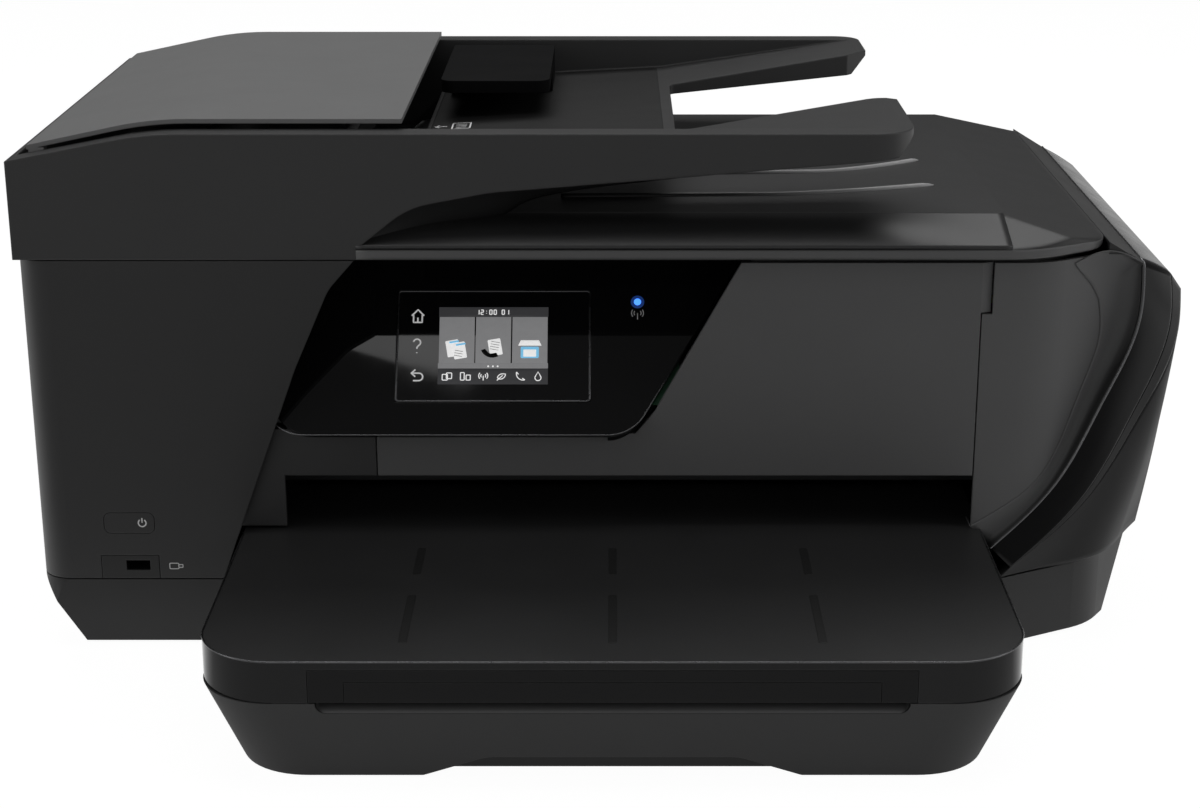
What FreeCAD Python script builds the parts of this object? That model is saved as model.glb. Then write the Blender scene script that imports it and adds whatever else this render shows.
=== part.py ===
import FreeCAD, Part
import os
import re

import Sketcher
from FreeCAD import Placement, Rotation, Vector

# Wide inkjet printer with a scanner lid, a sheet feeder and a paper tray.
# Millimetres. Origin on the table under the middle of the whole outline, +Z up, front towards -Y.

# Driving sizes
SIZES = {
    # Whole outline
    "body_width": 613,
    "body_depth": 321,
    "tray_reach": 162,
    "overall_height": 287,
    "base_height": 41,
    "lid_seam": 217,
    "wall": 2.5,
    "seam_gap": 0.6,
    "slide_gap": 0.3,
    "running_fit": 0.05,
    "overcut": 5,
    # Base and feet
    "foot_height": 2,
    "foot_radius": 9,
    "foot_margin": 34,
    "base_inset_left": 21,
    "base_inset_front": 7.5,
    "base_inset_right": 15,
    "base_inset_back": 4,
    "corner_radius": 17,
    "bevel_start_x": 206,
    "bevel_mid_x": 262,
    "bevel_mid_depth": 29.5,
    "bevel_end_depth": 72,
    "bevel_radius": 45,
    "right_seam_x": 289,
    "bay_clearance": 1.5,
    "bay_rail_low": 30,
    "bay_rail_high": 36,
    # Paper tray
    "tray_half_width": 196.5,
    "tray_length": 432,
    "tray_top": 67,
    "band_bottom": 46,
    "tray_floor": 1.2,
    "tray_taper": 15,
    "tray_corner_radius": 38,
    "cover_rear_reach": 76,
    "grip_half_width": 60,
    "grip_height": 11.5,
    "grip_depth": 24,
    "grip_splay": 32,
    "grip_round": 18,
    "scoop_half_width": 139,
    "scoop_height": 6,
    "scoop_depth": 9,
    "scoop_round": 5,
    # Output extensions
    "lip_half_width": 142,
    "lip_top": 62.8,
    "lip_depth": 9,
    "inner_lip_half_width": 125,
    "inner_lip_top": 56.7,
    "extension_length": 138,
    "extension_thick": 2.2,
    "rail_wide": 6,
    # Paper guides in the tray
    "guide_sheet_width": 297,
    "guide_length": 120,
    "guide_height": 30,
    "guide_thick": 3,
    "guide_foot": 26,
    "guide_rear_y": 150,
    "stop_half_width": 30,
    "stop_front_gap": 36,
    # Left cover
    "edge_low_x": -208,
    "edge_mid_x": -165,
    "edge_mid_z": 158,
    "edge_high_x": -146,
    "edge_high_z": 201,
    "edge_top_x": -128,
    "edge_radius": 26,
    "ledge_wide": 5,
    "ledge_tall": 4,
    # Power key and front memory socket
    "key_inset": 36.8,
    "key_width": 26.5,
    "key_low_z": 67.4,
    "key_height": 11.4,
    "key_radius": 3.5,
    "key_flange": 1.5,
    "key_travel": 1.2,
    "key_stem": 6,
    "usb_inset": 47.1,
    "usb_width": 12.6,
    "usb_low_z": 46.2,
    "usb_height": 5.6,
    "usb_depth": 18,
    "usb_plate_inset": 34,
    "usb_plate_width": 30.5,
    "usb_plate_high_z": 54.5,
    # Front: fascia plane, door, pillar, right panel
    "fascia_setback": 8,
    "fascia_thick": 3,
    "slot_left_x": -174,
    "pillar_low_z": 68.5,
    "door_left_x": -124.4,
    "door_right_x": 190.8,
    "door_low_z": 97,
    "door_gap": 0.7,
    "door_top_gap": 3,
    "door_shelf_z": 120.5,
    "door_cut_x": 12,
    "door_step_x": 22.5,
    "door_step_z": 133,
    "door_peak_x": 66.5,
    "door_pin_radius": 2,
    "door_pin_long": 11,
    "door_knuckle_radius": 4.5,
    "door_knuckle_z": 102.5,
    "finger_width": 5.4,
    "finger_low_z": 186,
    "finger_edge": 1,
    # Sloped control panel, sizes measured along the slope
    "panel_tilt": 36.6,
    "panel_low_z": 122.5,
    "panel_thick": 4,
    "panel_rise": 110.9,
    "panel_left_x": -184,
    "panel_left_high_x": -168,
    "panel_left_high": 84,
    "panel_left_top_x": -150,
    "panel_right_low_x": 10,
    "panel_right_high_x": 76,
    "panel_corner": 22,
    "glass_left_x": -114.7,
    "glass_right_x": -11.6,
    "glass_low": 18.2,
    "glass_high": 81.1,
    "glass_recess": 1.5,
    "screen_left_x": -92.4,
    "screen_right_x": -34.2,
    "screen_low": 27.9,
    "screen_high": 71.4,
    "screen_thick": 3,
    "light_x": 13.3,
    "light_rise": 74.5,
    "light_radius": 2.2,
    # Right side, trim strip and corner
    "strip_inner_x": 258.6,
    "strip_inner_z": 220.6,
    "strip_x": 277.8,
    "strip_z": 208.9,
    "shoulder_x": 298.3,
    "shoulder_z": 196.8,
    "bulge_z": 186,
    "trim_thick": 2,
    "trim_width": 22,
    "trim_start_width": 16,
    "trim_x_start": 201,
    "trim_z_start": 59,
    "trim_x_low": 236,
    "trim_z_low": 95,
    "trim_x_mid": 258.5,
    "trim_z_mid": 137,
    "trim_x_high": 276.5,
    "trim_z_high": 180,
    "trim_corner_depth": 26,
    "trim_lean": 24,
    "corner_stations": 13,
    "bulge_back": 8,
    "side_front_y": 0,
    "panel_bend_x": 224,
    "panel_bend_depth": 30,
    "panel_tuck": 0.5,
    # Rear
    "rear_door_half_width": 170,
    "rear_door_low_z": 62,
    "rear_door_high_z": 150,
    "rear_pin_radius": 1.5,
    "rear_pin_long": 6,
    "rear_knuckle_radius": 3.5,
    "rear_hinge_room": 3,
    "rear_gap": 0.6,
    "socket_depth": 20,
    "socket_rim": 1.25,
    "inlet_pin_radius": 1.5,
    "inlet_pin_space": 12,
    "inlet_inset": 40.5,
    "inlet_z": 74,
    "inlet_width": 28,
    "inlet_height": 21,
    "socket_inset": 74.5,
    "socket_pitch": 22,
    "socket_count": 3,
    "socket_low_z": 92,
    "socket_width": 14,
    "socket_height": 12,
    "port_margin": 4,
    # Scanner
    "deck_thick": 4.4,
    "deck_back_gap": 4.5,
    "recess_left_x": -136,
    "recess_right_x": 72,
    "recess_back_y": -11,
    "glass_x_left": -226,
    "glass_x_right": 88,
    "glass_y_front": 8,
    "glass_y_back": 222,
    "platen_glass_thick": 2.8,
    "glass_ledge": 3,
    "strip_glass_left": -262,
    "strip_glass_right": -238,
    "tub_left_x": -274,
    "tub_right_x": 152,
    "tub_front_y": 0,
    "tub_back_y": 229,
    "tub_low_z": 183,
    "scan_bar_width": 26,
    "scan_bar_low_z": 197,
    "scan_rod_radius": 3,
    "scan_rod_z": 192,
    "scan_boss": 9,
    # Lid
    "lid_lip": 5.3,
    "lid_top": 232,
    "lid_slope_depth": 34,
    "lid_right_x": 258,
    "lid_right_drop": 11,
    "lid_right_slope": 52,
    "lid_corner_x": 218,
    "lid_corner_depth": 26,
    "lid_corner_radius": 60,
    "lid_back_gap": 10.5,
    "lid_skin": 3,
    "hinge_y_gap": 8.5,
    "hinge_z": 222,
    "hinge_radius": 5,
    "hinge_pin_radius": 2,
    "hinge_left_x": -205,
    "hinge_right_x": 130,
    "hinge_wide": 26,
    "ear_wide": 8,
    "ear_front": 1.25,
    "ear_back": 4,
    "hinge_room": 3,
    "pad_thick": 3,
    # Sheet feeder on the lid
    "feeder_split_x": -131,
    "feeder_left_z": 268,
    "feeder_shoulder_inset": 71.5,
    "feeder_rim_z": 282,
    "feeder_end_x": 154,
    "feeder_end_z": 279,
    "skirt_rise_x": -104,
    "skirt_rise_z": 244,
    "skirt_flat_x": -62,
    "skirt_flat_z": 252,
    "skirt_radius": 45,
    "skirt_flat_radius": 90,
    "shoulder_radius": 180,
    "feeder_toe": 9,
    "shaft_seat": 6,
    "rim_wide": 14,
    "feeder_floor_x": -104,
    "feeder_floor_z": 258,
    "feeder_bend_x": 30,
    "feeder_bend_z": 265,
    "feeder_high_z": 283.5,
    "feeder_under": 10,
    "notch_x": 34,
    "notch_front_depth": 89,
    "notch_back_depth": 229.5,
    "notch_splay": 15,
    "notch_corner": 4,
    "tip_chamfer": 12,
    "tip_front_radius": 24,
    "tip_back_radius": 15,
    "feeder_hollow_low": 227,
    "feeder_mouth": 12,
    "cover_thick": 2.4,
    "cover_right_x": -107,
    "cover_left_gap": 8,
    "cover_left_z": 273.5,
    "cover_side_gap": 0.5,
    "cover_pin_radius": 1.5,
    "cover_pin_x_gap": 13,
    "cover_pin_z": 266,
    "cover_ear_wide": 6,
    "cover_ear_radius": 4,
    "pick_x": -142,
    "pick_z": 266,
    "pick_radius": 11,
    "pick_shaft_radius": 3,
    "pick_wide": 46,
    "drive_inset": 92.5,
    "drive_z": 254,
    "drive_radius": 13,
    "feeder_guide_left_x": -98,
    "feeder_guide_right_x": -36,
    "feeder_guide_front_y": 80,
    "feeder_guide_back_y": 206,
    "feeder_guide_web_y": 150,
    "feeder_guide_top": 280.5,
    "feeder_guide_thick": 7,
    "feeder_guide_low": 262.3,
    "guide_corner": 8,
    # Print engine
    "frame_left_x": -232,
    "frame_right_x": 253,
    "frame_thick": 2.5,
    "frame_front_y": -15,
    "frame_back_y": 185,
    "frame_top_z": 170,
    "engine_deck_low": 70,
    "engine_deck_thick": 3.5,
    "engine_deck_front": -5,
    "engine_deck_back": 118,
    "paper_plane": 92,
    "rib_count": 13,
    "rib_height": 5,
    "cap_margin_x": 7.5,
    "cap_margin_y": 15,
    "feed_y": 101,
    "feed_radius": 7,
    "feed_shaft_radius": 4,
    "sleeve_long": 30,
    "sleeve_pitch": 72,
    "sleeve_count": 5,
    "sleeve_first_x": -170,
    "eject_y": 6,
    "eject_radius": 7,
    "eject_shaft_radius": 3,
    "nip_gap": 0.4,
    "nip_shaft_radius": 1.5,
    "pinch_radius": 3.5,
    "spur_radius": 4.5,
    "spur_wide": 3,
    "print_left_x": -182,
    "print_right_x": 142,
    "carriage_left_x": 150,
    "carriage_width": 96,
    "carriage_front_y": 18,
    "carriage_back_y": 94,
    "carriage_low_gap": 3,
    "carriage_height": 45,
    "rod_radius": 4.5,
    "rod_y": 106,
    "rod_z": 128,
    "rod_boss": 5,
    "ink_wide": 19.5,
    "ink_black_wide": 27,
    "ink_gap": 1.4,
    "ink_rise": 11,
    "ink_grip_start": 7.5,
    "ink_grip_long": 12.5,
    "rail_y": 122,
    "rail_thick": 3,
    "rail_low_z": 100,
    "rail_high_z": 166,
    "belt_z": 150,
    "belt_radius": 6,
    "belt_thick": 1,
    "belt_wide": 6,
    "belt_left_x": -212,
    "belt_right_x": 236,
    "belt_pin_radius": 2,
    "motor_radius": 15,
    "motor_long": 32,
    "feed_motor_y": 152,
    "pulley_radius": 8,
    "pulley_wide": 6,
    "pulley_space": 2,
    # Electronics
    "board_thick": 1.6,
    "chip_width": 14,
    "chip_low": 3,
    "chip_mid": 5,
    "chip_tall": 8,
    "board_gap": 14,
    "board_front_y": 30,
    "board_back_y": 200,
    "board_low_z": 62,
    "board_high_z": 172,
    "supply_left_x": -280,
    "supply_right_x": -238,
    "supply_front_y": 40,
    "supply_back_y": 200,
    "supply_height": 32,
    # Fasteners
    "screw_radius": 3,
}

# Places worked out from the sizes
PLACES = {
    "left_x": "-body_width / 2",
    "right_x": "body_width / 2",
    "front_y": "(tray_reach - body_depth) / 2",
    "back_y": "(tray_reach + body_depth) / 2",
    "tray_front_y": "front_y - tray_reach",
    "tray_back_y": "tray_front_y + tray_length",
    "cover_low": "base_height + seam_gap",
    "deck_top": "lid_seam - seam_gap",
    "deck_low": "deck_top - deck_thick",
    "fascia_y": "front_y + fascia_setback",
    "fascia_back": "fascia_y + fascia_thick",
    "base_floor": "foot_height + wall",
    "bay_half": "tray_half_width + bay_clearance",
    "bay_back": "tray_back_y + bay_clearance",
    "tub_floor": "tray_floor + wall",
    "cover_under": "tray_top - wall",
    "extension_top": "lip_top - seam_gap",
    "stop_top": "inner_lip_top - seam_gap",
    "lid_back": "back_y - lid_back_gap",
    "hinge_y": "back_y - hinge_y_gap",
    "frame_left_in": "frame_left_x + frame_thick",
    "engine_deck_top": "engine_deck_low + engine_deck_thick",
    "feed_z": "paper_plane - feed_radius",
    "eject_z": "paper_plane - eject_radius",
    "carriage_low": "paper_plane + carriage_low_gap",
    "carriage_high": "carriage_low + carriage_height",
    "carriage_right_x": "carriage_left_x + carriage_width",
    "pulley_inner_x": "frame_left_x - pulley_space - pulley_wide",
    "pulley_outer_x": "pulley_inner_x - pulley_space - pulley_wide",
    "spur_z": "paper_plane + nip_gap + spur_radius",
    "pinch_z": "paper_plane + nip_gap + pinch_radius",
    "guide_z": "tub_floor + slide_gap",
    "door_axis_y": "fascia_y + door_knuckle_radius",
    "glass_middle_y": "(glass_y_front + glass_y_back) / 2",
    "feeder_middle_y": "(feeder_front + feeder_back) / 2",
    "rear_axis_y": "back_y - wall - rear_knuckle_radius",
    "rear_axis_z": "rear_door_low_z + rear_knuckle_radius",
    "shaft_right_x": "frame_right_x + frame_thick",
    "inlet_x": "left_x + inlet_inset",
    "socket_first_x": "left_x + socket_inset",
    "feeder_shoulder_x": "left_x + feeder_shoulder_inset",
    "drive_x": "left_x + drive_inset",
    "port_left_x": "inlet_x - port_margin",
    "port_right_x": "socket_first_x + (socket_count - 1) * socket_pitch + socket_width + port_margin",
    "port_low_z": "inlet_z - port_margin",
    "port_high_z": "socket_low_z + socket_height + port_margin",
    "board_left_x": "left_x + wall + board_gap",
    "feeder_front": "front_y + rim_wide",
    "feeder_back": "lid_back - rim_wide",
    "cover_pin_x": "left_x + cover_pin_x_gap",
    "key_left_x": "left_x + key_inset",
    "key_right_x": "key_left_x + key_width",
    "key_high_z": "key_low_z + key_height",
    "usb_left_x": "left_x + usb_inset",
    "usb_right_x": "usb_left_x + usb_width",
    "usb_plate_left_x": "left_x + usb_plate_inset",
    "usb_plate_right_x": "usb_plate_left_x + usb_plate_width",
    "usb_high_z": "usb_low_z + usb_height",
    "door_high_z": "deck_top - door_top_gap",
    "strip_wide": "sqrt((shoulder_x - strip_x) ^ 2 + (strip_z - shoulder_z) ^ 2)",
    "seat_x": "(trim_thick + slide_gap) * (strip_z - shoulder_z) / strip_wide",
    "seat_z": "(trim_thick + slide_gap) * (shoulder_x - strip_x) / strip_wide",
}

doc = FreeCAD.newDocument("Printer")
WORD = re.compile(r"[A-Za-z_][A-Za-z_0-9]*")
AXES = {"X": Vector(1, 0, 0), "Y": Vector(0, 1, 0), "Z": Vector(0, 0, 1)}
TURNS = {"X": Rotation(AXES["Y"], 90), "Y": Rotation(AXES["X"], -90), "Z": Rotation()}
FOOT_INWARD = Vector(-1, 0, 0)
CORNER_INWARD = Vector(-5, 8, -1).normalize()
CHIPS = [(0.2, 0.3, "chip_low"), (0.5, 0.6, "chip_mid"), (0.8, 0.3, "chip_low"), (0.75, 0.75, "chip_tall")]
POST_SHARES = (0.06, 0.94)
TRIM_WORDS = ("start", "low", "mid", "high")
SMALL = 1e-4
PLANES = {"XY": "XY_Plane", "XZ": "XZ_Plane", "YZ": "YZ_Plane"}
nodes = []


def formula(text):
    """Give each size or place in a formula the name of its sheet."""
    def named(match):
        word = match.group()
        if word in SIZES:
            return "Sizes." + word
        if word in PLACES:
            return "Places." + word
        return word
    return WORD.sub(named, str(text))


def fill_sheet(name, cells, prefix):
    """One row for each value: its name, and its cell with the same word as alias."""
    sheet = doc.addObject("Spreadsheet::Sheet", name)
    for row, (alias, content) in enumerate(cells.items(), start=1):
        sheet.set(f"A{row}", alias)
        sheet.setAlias(f"B{row}", alias)
        sheet.set(f"B{row}", prefix + formula(content))
    return sheet


sizes = fill_sheet("Sizes", SIZES, "")
places = fill_sheet("Places", PLACES, "=")
doc.recompute()


def value(text):
    """The number that a formula gives now."""
    return float(sizes.evalExpression(formula(text)))


def bind(item, prop, text):
    item.setExpression(prop, formula(text))


def node(item):
    """Keep an object as a sub-part of the printer."""
    nodes.append(item)
    return item


def box(name, x, y, z):
    """A block between two formulas on each axis."""
    item = doc.addObject("Part::Box", name)
    for prop, axis, (low, high) in zip(("Length", "Width", "Height"), "xyz", (x, y, z)):
        bind(item, prop, f"({high}) - ({low})")
        bind(item, "Placement.Base." + axis, low)
    return item


def rod(name, axis, radius, span, at):
    """A cylinder along an axis between two formulas, through a point of the other two axes."""
    item = doc.addObject("Part::Cylinder", name)
    item.Placement = Placement(Vector(), TURNS[axis])
    bind(item, "Radius", radius)
    bind(item, "Height", f"({span[1]}) - ({span[0]})")
    across = [letter for letter in "XYZ" if letter != axis]
    for letter, text in zip([axis] + across, [span[0], *at]):
        bind(item, "Placement.Base." + letter.lower(), text)
    return item


def fuse(name, *items):
    item = doc.addObject("Part::MultiFuse", name)
    item.Shapes = list(items)
    return item


def cut(name, base, *tools):
    item = doc.addObject("Part::Cut", name)
    item.Base = base
    item.Tool = tools[0] if len(tools) == 1 else fuse(name + "_tools", *tools)
    return item


def group(name, items):
    """Separate solids of one kind kept together."""
    item = doc.addObject("Part::Compound", name)
    item.Links = list(items)
    return item


def origin_plane(body, plane):
    return next(part for part in body.Origin.OriginFeatures if part.Role == PLANES[plane])


def outline_sketch(body, name, plane, points, level):
    """A closed outline whose corners are bound to formulas, at a level along the plane's normal."""
    sketch = body.newObject("Sketcher::SketchObject", name)
    sketch.AttachmentSupport = (origin_plane(body, plane), [""])
    sketch.MapMode = "FlatFace"
    bind(sketch, "AttachmentOffset.Base.z", level)
    corners = [Vector(value(u), value(v), 0) for u, v in points]
    count = len(corners)
    for index, corner in enumerate(corners):
        sketch.addGeometry(Part.LineSegment(corner, corners[(index + 1) % count]))
    for index in range(count):
        sketch.addConstraint(Sketcher.Constraint("Coincident", index, 2, (index + 1) % count, 1))
    for index, (u, v) in enumerate(points):
        for kind, text in (("DistanceX", u), ("DistanceY", v)):
            number = sketch.addConstraint(Sketcher.Constraint(kind, -1, 1, index, 1, value(text)))
            bind(sketch, f"Constraints[{number}]", text)
    return sketch


def corner_edges(shape, starts, axis):
    """Names of the edges that run from the given corners along an axis, straight or sloped."""
    names = []
    for number, edge in enumerate(shape.Edges, start=1):
        ends = [vertex.Point for vertex in edge.Vertexes]
        if len(ends) < 2 or abs((ends[1] - ends[0]).dot(axis)) < SMALL:
            continue
        if any(end.distanceToPoint(start) < SMALL for end in ends for start in starts):
            names.append(f"Edge{number}")
    return names


def round_corners(body, feature, plane, points, level, rounds):
    """Round chosen corners of an outline, one fillet for each radius."""
    normal = {"XY": AXES["Z"], "XZ": -AXES["Y"], "YZ": AXES["X"]}[plane]
    along = {"XY": (AXES["X"], AXES["Y"]), "XZ": (AXES["X"], AXES["Z"]), "YZ": (AXES["Y"], AXES["Z"])}[plane]
    radii = {}
    for index, radius in rounds.items():
        radii.setdefault(radius, []).append(index)
    for radius, indexes in radii.items():
        doc.recompute()
        starts = [along[0] * value(points[index][0]) + along[1] * value(points[index][1])
                  + normal * value(level) for index in indexes]
        fillet = body.newObject("PartDesign::Fillet", body.Name + "_round")
        fillet.Base = (feature, corner_edges(feature.Shape, starts, normal))
        bind(fillet, "Radius", radius)
        feature = fillet
    return feature


def prism(name, plane, points, span, rounds=None):
    """A padded outline between two formulas along the axis that the plane lacks."""
    body = doc.addObject("PartDesign::Body", name)
    low, high = span
    level = f"-({high})" if plane == "XZ" else low
    sketch = outline_sketch(body, name + "_outline", plane, points, level)
    pad = body.newObject("PartDesign::Pad", name + "_pad")
    pad.Profile = sketch
    bind(pad, "Length", f"({high}) - ({low})")
    if rounds:
        round_corners(body, pad, plane, points, level, rounds)
    return body


def rectangle(x, y):
    """Corners of a rectangle, from the low corner round."""
    return [(x[0], y[0]), (x[1], y[0]), (x[1], y[1]), (x[0], y[1])]


def tilt_panel(body):
    """Set a body on the slope of the control panel; its own Z then runs up the slope."""
    body.Placement = Placement(Vector(), Rotation(-AXES["X"], value("panel_tilt")))
    bind(body, "Placement.Rotation.Angle", "panel_tilt")
    bind(body, "Placement.Base.y", "front_y")
    bind(body, "Placement.Base.z", "panel_low_z")
    return body


# Base pan and feet


def base_block(name, inset, low):
    """The base's outline moved in by a wall, with sloped left, right and back sides."""
    left = f"left_x + {inset}"
    front = f"front_y + {inset}"
    right = f"right_seam_x - {inset}"
    back = f"back_y - {inset}"
    outline = [
        (left, back),
        (left, front),
        ("bevel_start_x", front),
        (f"bevel_mid_x - {inset}", f"front_y + bevel_mid_depth + {inset}"),
        (right, f"front_y + bevel_end_depth + {inset}"),
        (right, back),
    ]
    block = prism(name + "_block", "XY", outline, (low, "base_height"),
                  {1: f"corner_radius - {inset}", 3: f"bevel_radius - {inset}"})
    through = ("front_y - overcut", "back_y + overcut")
    wedges = [
        prism(name + "_left_slope", "XZ", [
            (left, "base_height"), (f"{left} + base_inset_left", "foot_height"),
            (f"{left} + base_inset_left", "-overcut"), (f"{left} - overcut", "-overcut"),
            (f"{left} - overcut", "base_height")], through),
        prism(name + "_right_slope", "XZ", [
            (right, "base_height"), (f"{right} + overcut", "base_height"), (f"{right} + overcut", "-overcut"),
            (f"{right} - base_inset_right", "-overcut"), (f"{right} - base_inset_right", "foot_height")],
            through),
        prism(name + "_front_slope", "YZ", [
            (front, "base_height"), (f"{front} + base_inset_front", "foot_height"),
            (f"{front} + base_inset_front", "-overcut"), (f"{front} - overcut", "-overcut"),
            (f"{front} - overcut", "base_height")], ("left_x - overcut", "right_x + overcut")),
    ]
    return cut(name, block, *wedges)


def base_pan():
    outside = base_block("base_outside", "0", "foot_height")
    inside = base_block("base_inside", "wall", "base_floor")
    bay = box("base_bay", ("-bay_half", "bay_half"), ("front_y - overcut", "bay_back"),
              ("-overcut", "base_height + overcut"))
    bay_walls = box("base_bay_walls", ("-bay_half - wall", "bay_half + wall"),
                    ("front_y - overcut", "bay_back + wall"), ("-overcut", "base_height + overcut"))
    pan = cut("base_walls", cut("base_shell", outside, bay), cut("base_hollow", inside, bay_walls))
    rails = []
    for side, sign in (("left", "-"), ("right", "")):
        rail = [(f"{sign}bay_half", "bay_rail_low"), (f"{sign}bay_half", "bay_rail_high")]
        for z in ("bay_rail_high", "bay_rail_low"):
            share = f"(band_bottom - {z}) / (band_bottom - tray_floor)"
            rail.append((f"{sign}(tray_half_width - tray_taper * {share} + slide_gap)", z))
        rails.append(prism(f"base_rail_{side}", "XZ", rail, ("front_y + corner_radius", "bay_back")))
    node(fuse("base_pan", pan, *rails))


def feet():
    across = ("left_x + base_inset_left + foot_margin", "right_seam_x - base_inset_right - foot_margin")
    along = ("front_y + bevel_mid_depth + foot_margin", "back_y - base_inset_back - foot_margin")
    pads = [rod(f"foot_{row}{column}", "Z", "foot_radius", ("0", "foot_height"), (x, y))
            for row, x in enumerate(across) for column, y in enumerate(along)]
    node(group("feet", pads))


# Paper tray


def tray_block(name, inset, low):
    """A block that widens upwards at its sides and front, its two front corners rounded."""
    body = doc.addObject("PartDesign::Body", name)
    wedge = body.newObject("PartDesign::AdditiveWedge", name + "_wedge")
    wedge.Placement = Placement(Vector(), Rotation(AXES["X"], 90))
    half = f"tray_half_width - {inset}"
    half_low = f"tray_half_width - {inset} - tray_taper"
    front = f"tray_front_y + {inset}"
    front_low = f"{front} + tray_taper"
    back = f"tray_back_y - {inset}"
    limits = {
        "Xmin": f"-({half_low})", "Xmax": half_low, "X2min": f"-({half})", "X2max": half,
        "Ymin": low, "Ymax": "band_bottom",
        "Zmin": f"-({back})", "Zmax": f"-({front_low})", "Z2min": f"-({back})", "Z2max": f"-({front})",
    }
    for prop, text in limits.items():
        bind(wedge, prop, text)
    corners = [(f"-({half_low})", front_low), (half_low, front_low)]
    round_corners(body, wedge, "XY", corners, low, {0: "tray_corner_radius", 1: "tray_corner_radius"})
    return body


def paper_tray():
    outside = tray_block("tray_outside", "0", "tray_floor")
    inside = tray_block("tray_inside", "wall", "tub_floor")
    grip_low = "grip_half_width + grip_splay"
    grip_far = f"{grip_low} + grip_round"
    grip_roof = box("grip_roof", (f"-({grip_far}) - wall", f"{grip_far} + wall"),
                    ("tray_front_y + tray_taper + wall", "tray_front_y + grip_depth + wall"),
                    ("tray_floor", "tray_floor + grip_height + wall"))
    grip_sill = "tray_floor - seam_gap"
    grip_high = "tray_floor + grip_height"
    grip_outline = [
        (f"-({grip_far})", "-overcut"),
        (f"-({grip_far})", grip_sill),
        (f"-({grip_low})", grip_sill),
        ("-grip_half_width", grip_high),
        ("grip_half_width", grip_high),
        (grip_low, grip_sill),
        (grip_far, grip_sill),
        (grip_far, "-overcut"),
    ]
    grip = prism("grip_room", "XZ", grip_outline, ("tray_front_y - overcut", "tray_front_y + grip_depth"),
                 {corner: "grip_round" for corner in (2, 3, 4, 5)})
    scoop_outline = [
        ("-scoop_half_width", "band_bottom - scoop_height"),
        ("scoop_half_width", "band_bottom - scoop_height"),
        ("scoop_half_width", "band_bottom + overcut"),
        ("-scoop_half_width", "band_bottom + overcut"),
    ]
    scoop = prism("scoop_room", "XZ", scoop_outline, ("tray_front_y - overcut", "tray_front_y + scoop_depth"),
                  {0: "scoop_round", 1: "scoop_round"})
    tub = fuse("tray_body", cut("tray_shell", outside, inside), grip_roof)
    node(cut("paper_tray", tub, grip, scoop))


def output_cover():
    low = "band_bottom + slide_gap"
    back = "front_y + cover_rear_reach"

    def corners(inset):
        half = f"tray_half_width - {inset}"
        front = f"tray_front_y + {inset}"
        return [(f"-({half})", back), (f"-({half})", front), (half, front), (half, back)]

    rounds = {1: "tray_corner_radius", 2: "tray_corner_radius"}
    outside = prism("cover_outside", "XY", corners("0"), (low, "tray_top"), rounds)
    inside = prism("cover_inside", "XY", corners("wall"), ("band_bottom - overcut", "cover_under"), rounds)
    mouth = box("cover_mouth", ("-lip_half_width - slide_gap", "lip_half_width + slide_gap"),
                ("tray_front_y - overcut", "tray_front_y + lip_depth + slide_gap"),
                ("band_bottom - overcut", "lip_top + slide_gap"))
    plate_low = "extension_top - extension_thick"
    runners = []
    for side, sign in (("left", "-1"), ("right", "1")):
        web_in = "lip_half_width - rail_wide + slide_gap"
        reach = ("tray_front_y + lip_depth + 2 * slide_gap", back)
        runners.append(side_box(f"cover_web_{side}", sign, (web_in, "lip_half_width"), reach,
                                (f"{plate_low} - slide_gap - wall", "cover_under")))
        runners.append(side_box(f"cover_ledge_{side}", sign, (f"{web_in} - rail_wide", "lip_half_width"),
                                reach,
                                (f"{plate_low} - slide_gap - wall", f"{plate_low} - slide_gap")))
    node(fuse("output_cover", cut("cover_shell", outside, inside, mouth), *runners))


def side_box(name, sign, x, y, z):
    """A block on the left, sign -1, or right, sign 1, given by its distances from the middle."""
    near, far = x
    if sign == "-1":
        return box(name, (f"-({far})", f"-({near})"), y, z)
    return box(name, (near, far), y, z)


def output_extension():
    half = "lip_half_width - rail_wide"
    plate_low = "extension_top - extension_thick"
    inner_low = "stop_top - extension_thick"
    plate = box("extension_plate", (f"-({half})", half),
                ("tray_front_y", "tray_front_y + extension_length"), (plate_low, "extension_top"))
    lip = box("extension_lip", ("-lip_half_width", "lip_half_width"),
              ("tray_front_y", "tray_front_y + lip_depth"), ("band_bottom + seam_gap", "lip_top"))
    mouth = box("extension_mouth", ("-inner_lip_half_width - slide_gap", "inner_lip_half_width + slide_gap"),
                ("tray_front_y - overcut", "tray_front_y + lip_depth + overcut"),
                ("band_bottom", "inner_lip_top + slide_gap"))
    runners = []
    for side, sign in (("left", "-1"), ("right", "1")):
        web_in = "inner_lip_half_width - rail_wide + slide_gap"
        reach = ("tray_front_y + lip_depth + 2 * slide_gap", "tray_front_y + extension_length")
        runners.append(side_box(f"extension_web_{side}", sign, (web_in, "inner_lip_half_width"), reach,
                                (f"{inner_low} - slide_gap - wall", plate_low)))
        runners.append(side_box(f"extension_ledge_{side}", sign,
                                (f"{web_in} - rail_wide", "inner_lip_half_width"), reach,
                                (f"{inner_low} - slide_gap - wall", f"{inner_low} - slide_gap")))
    frame = cut("extension_frame", fuse("extension_body", plate, lip), mouth)
    node(fuse("output_extension", frame, *runners))
    inner_half = "inner_lip_half_width - rail_wide"
    inner_plate = box("stop_plate", (f"-({inner_half})", inner_half),
                      ("tray_front_y", "tray_front_y + extension_length - lip_depth"),
                      (inner_low, "stop_top"))
    inner_lip = box("stop_lip", ("-inner_lip_half_width", "inner_lip_half_width"),
                    ("tray_front_y", "tray_front_y + lip_depth"), ("band_bottom + seam_gap", "inner_lip_top"))
    node(fuse("extension_stop", inner_plate, inner_lip))


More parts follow.
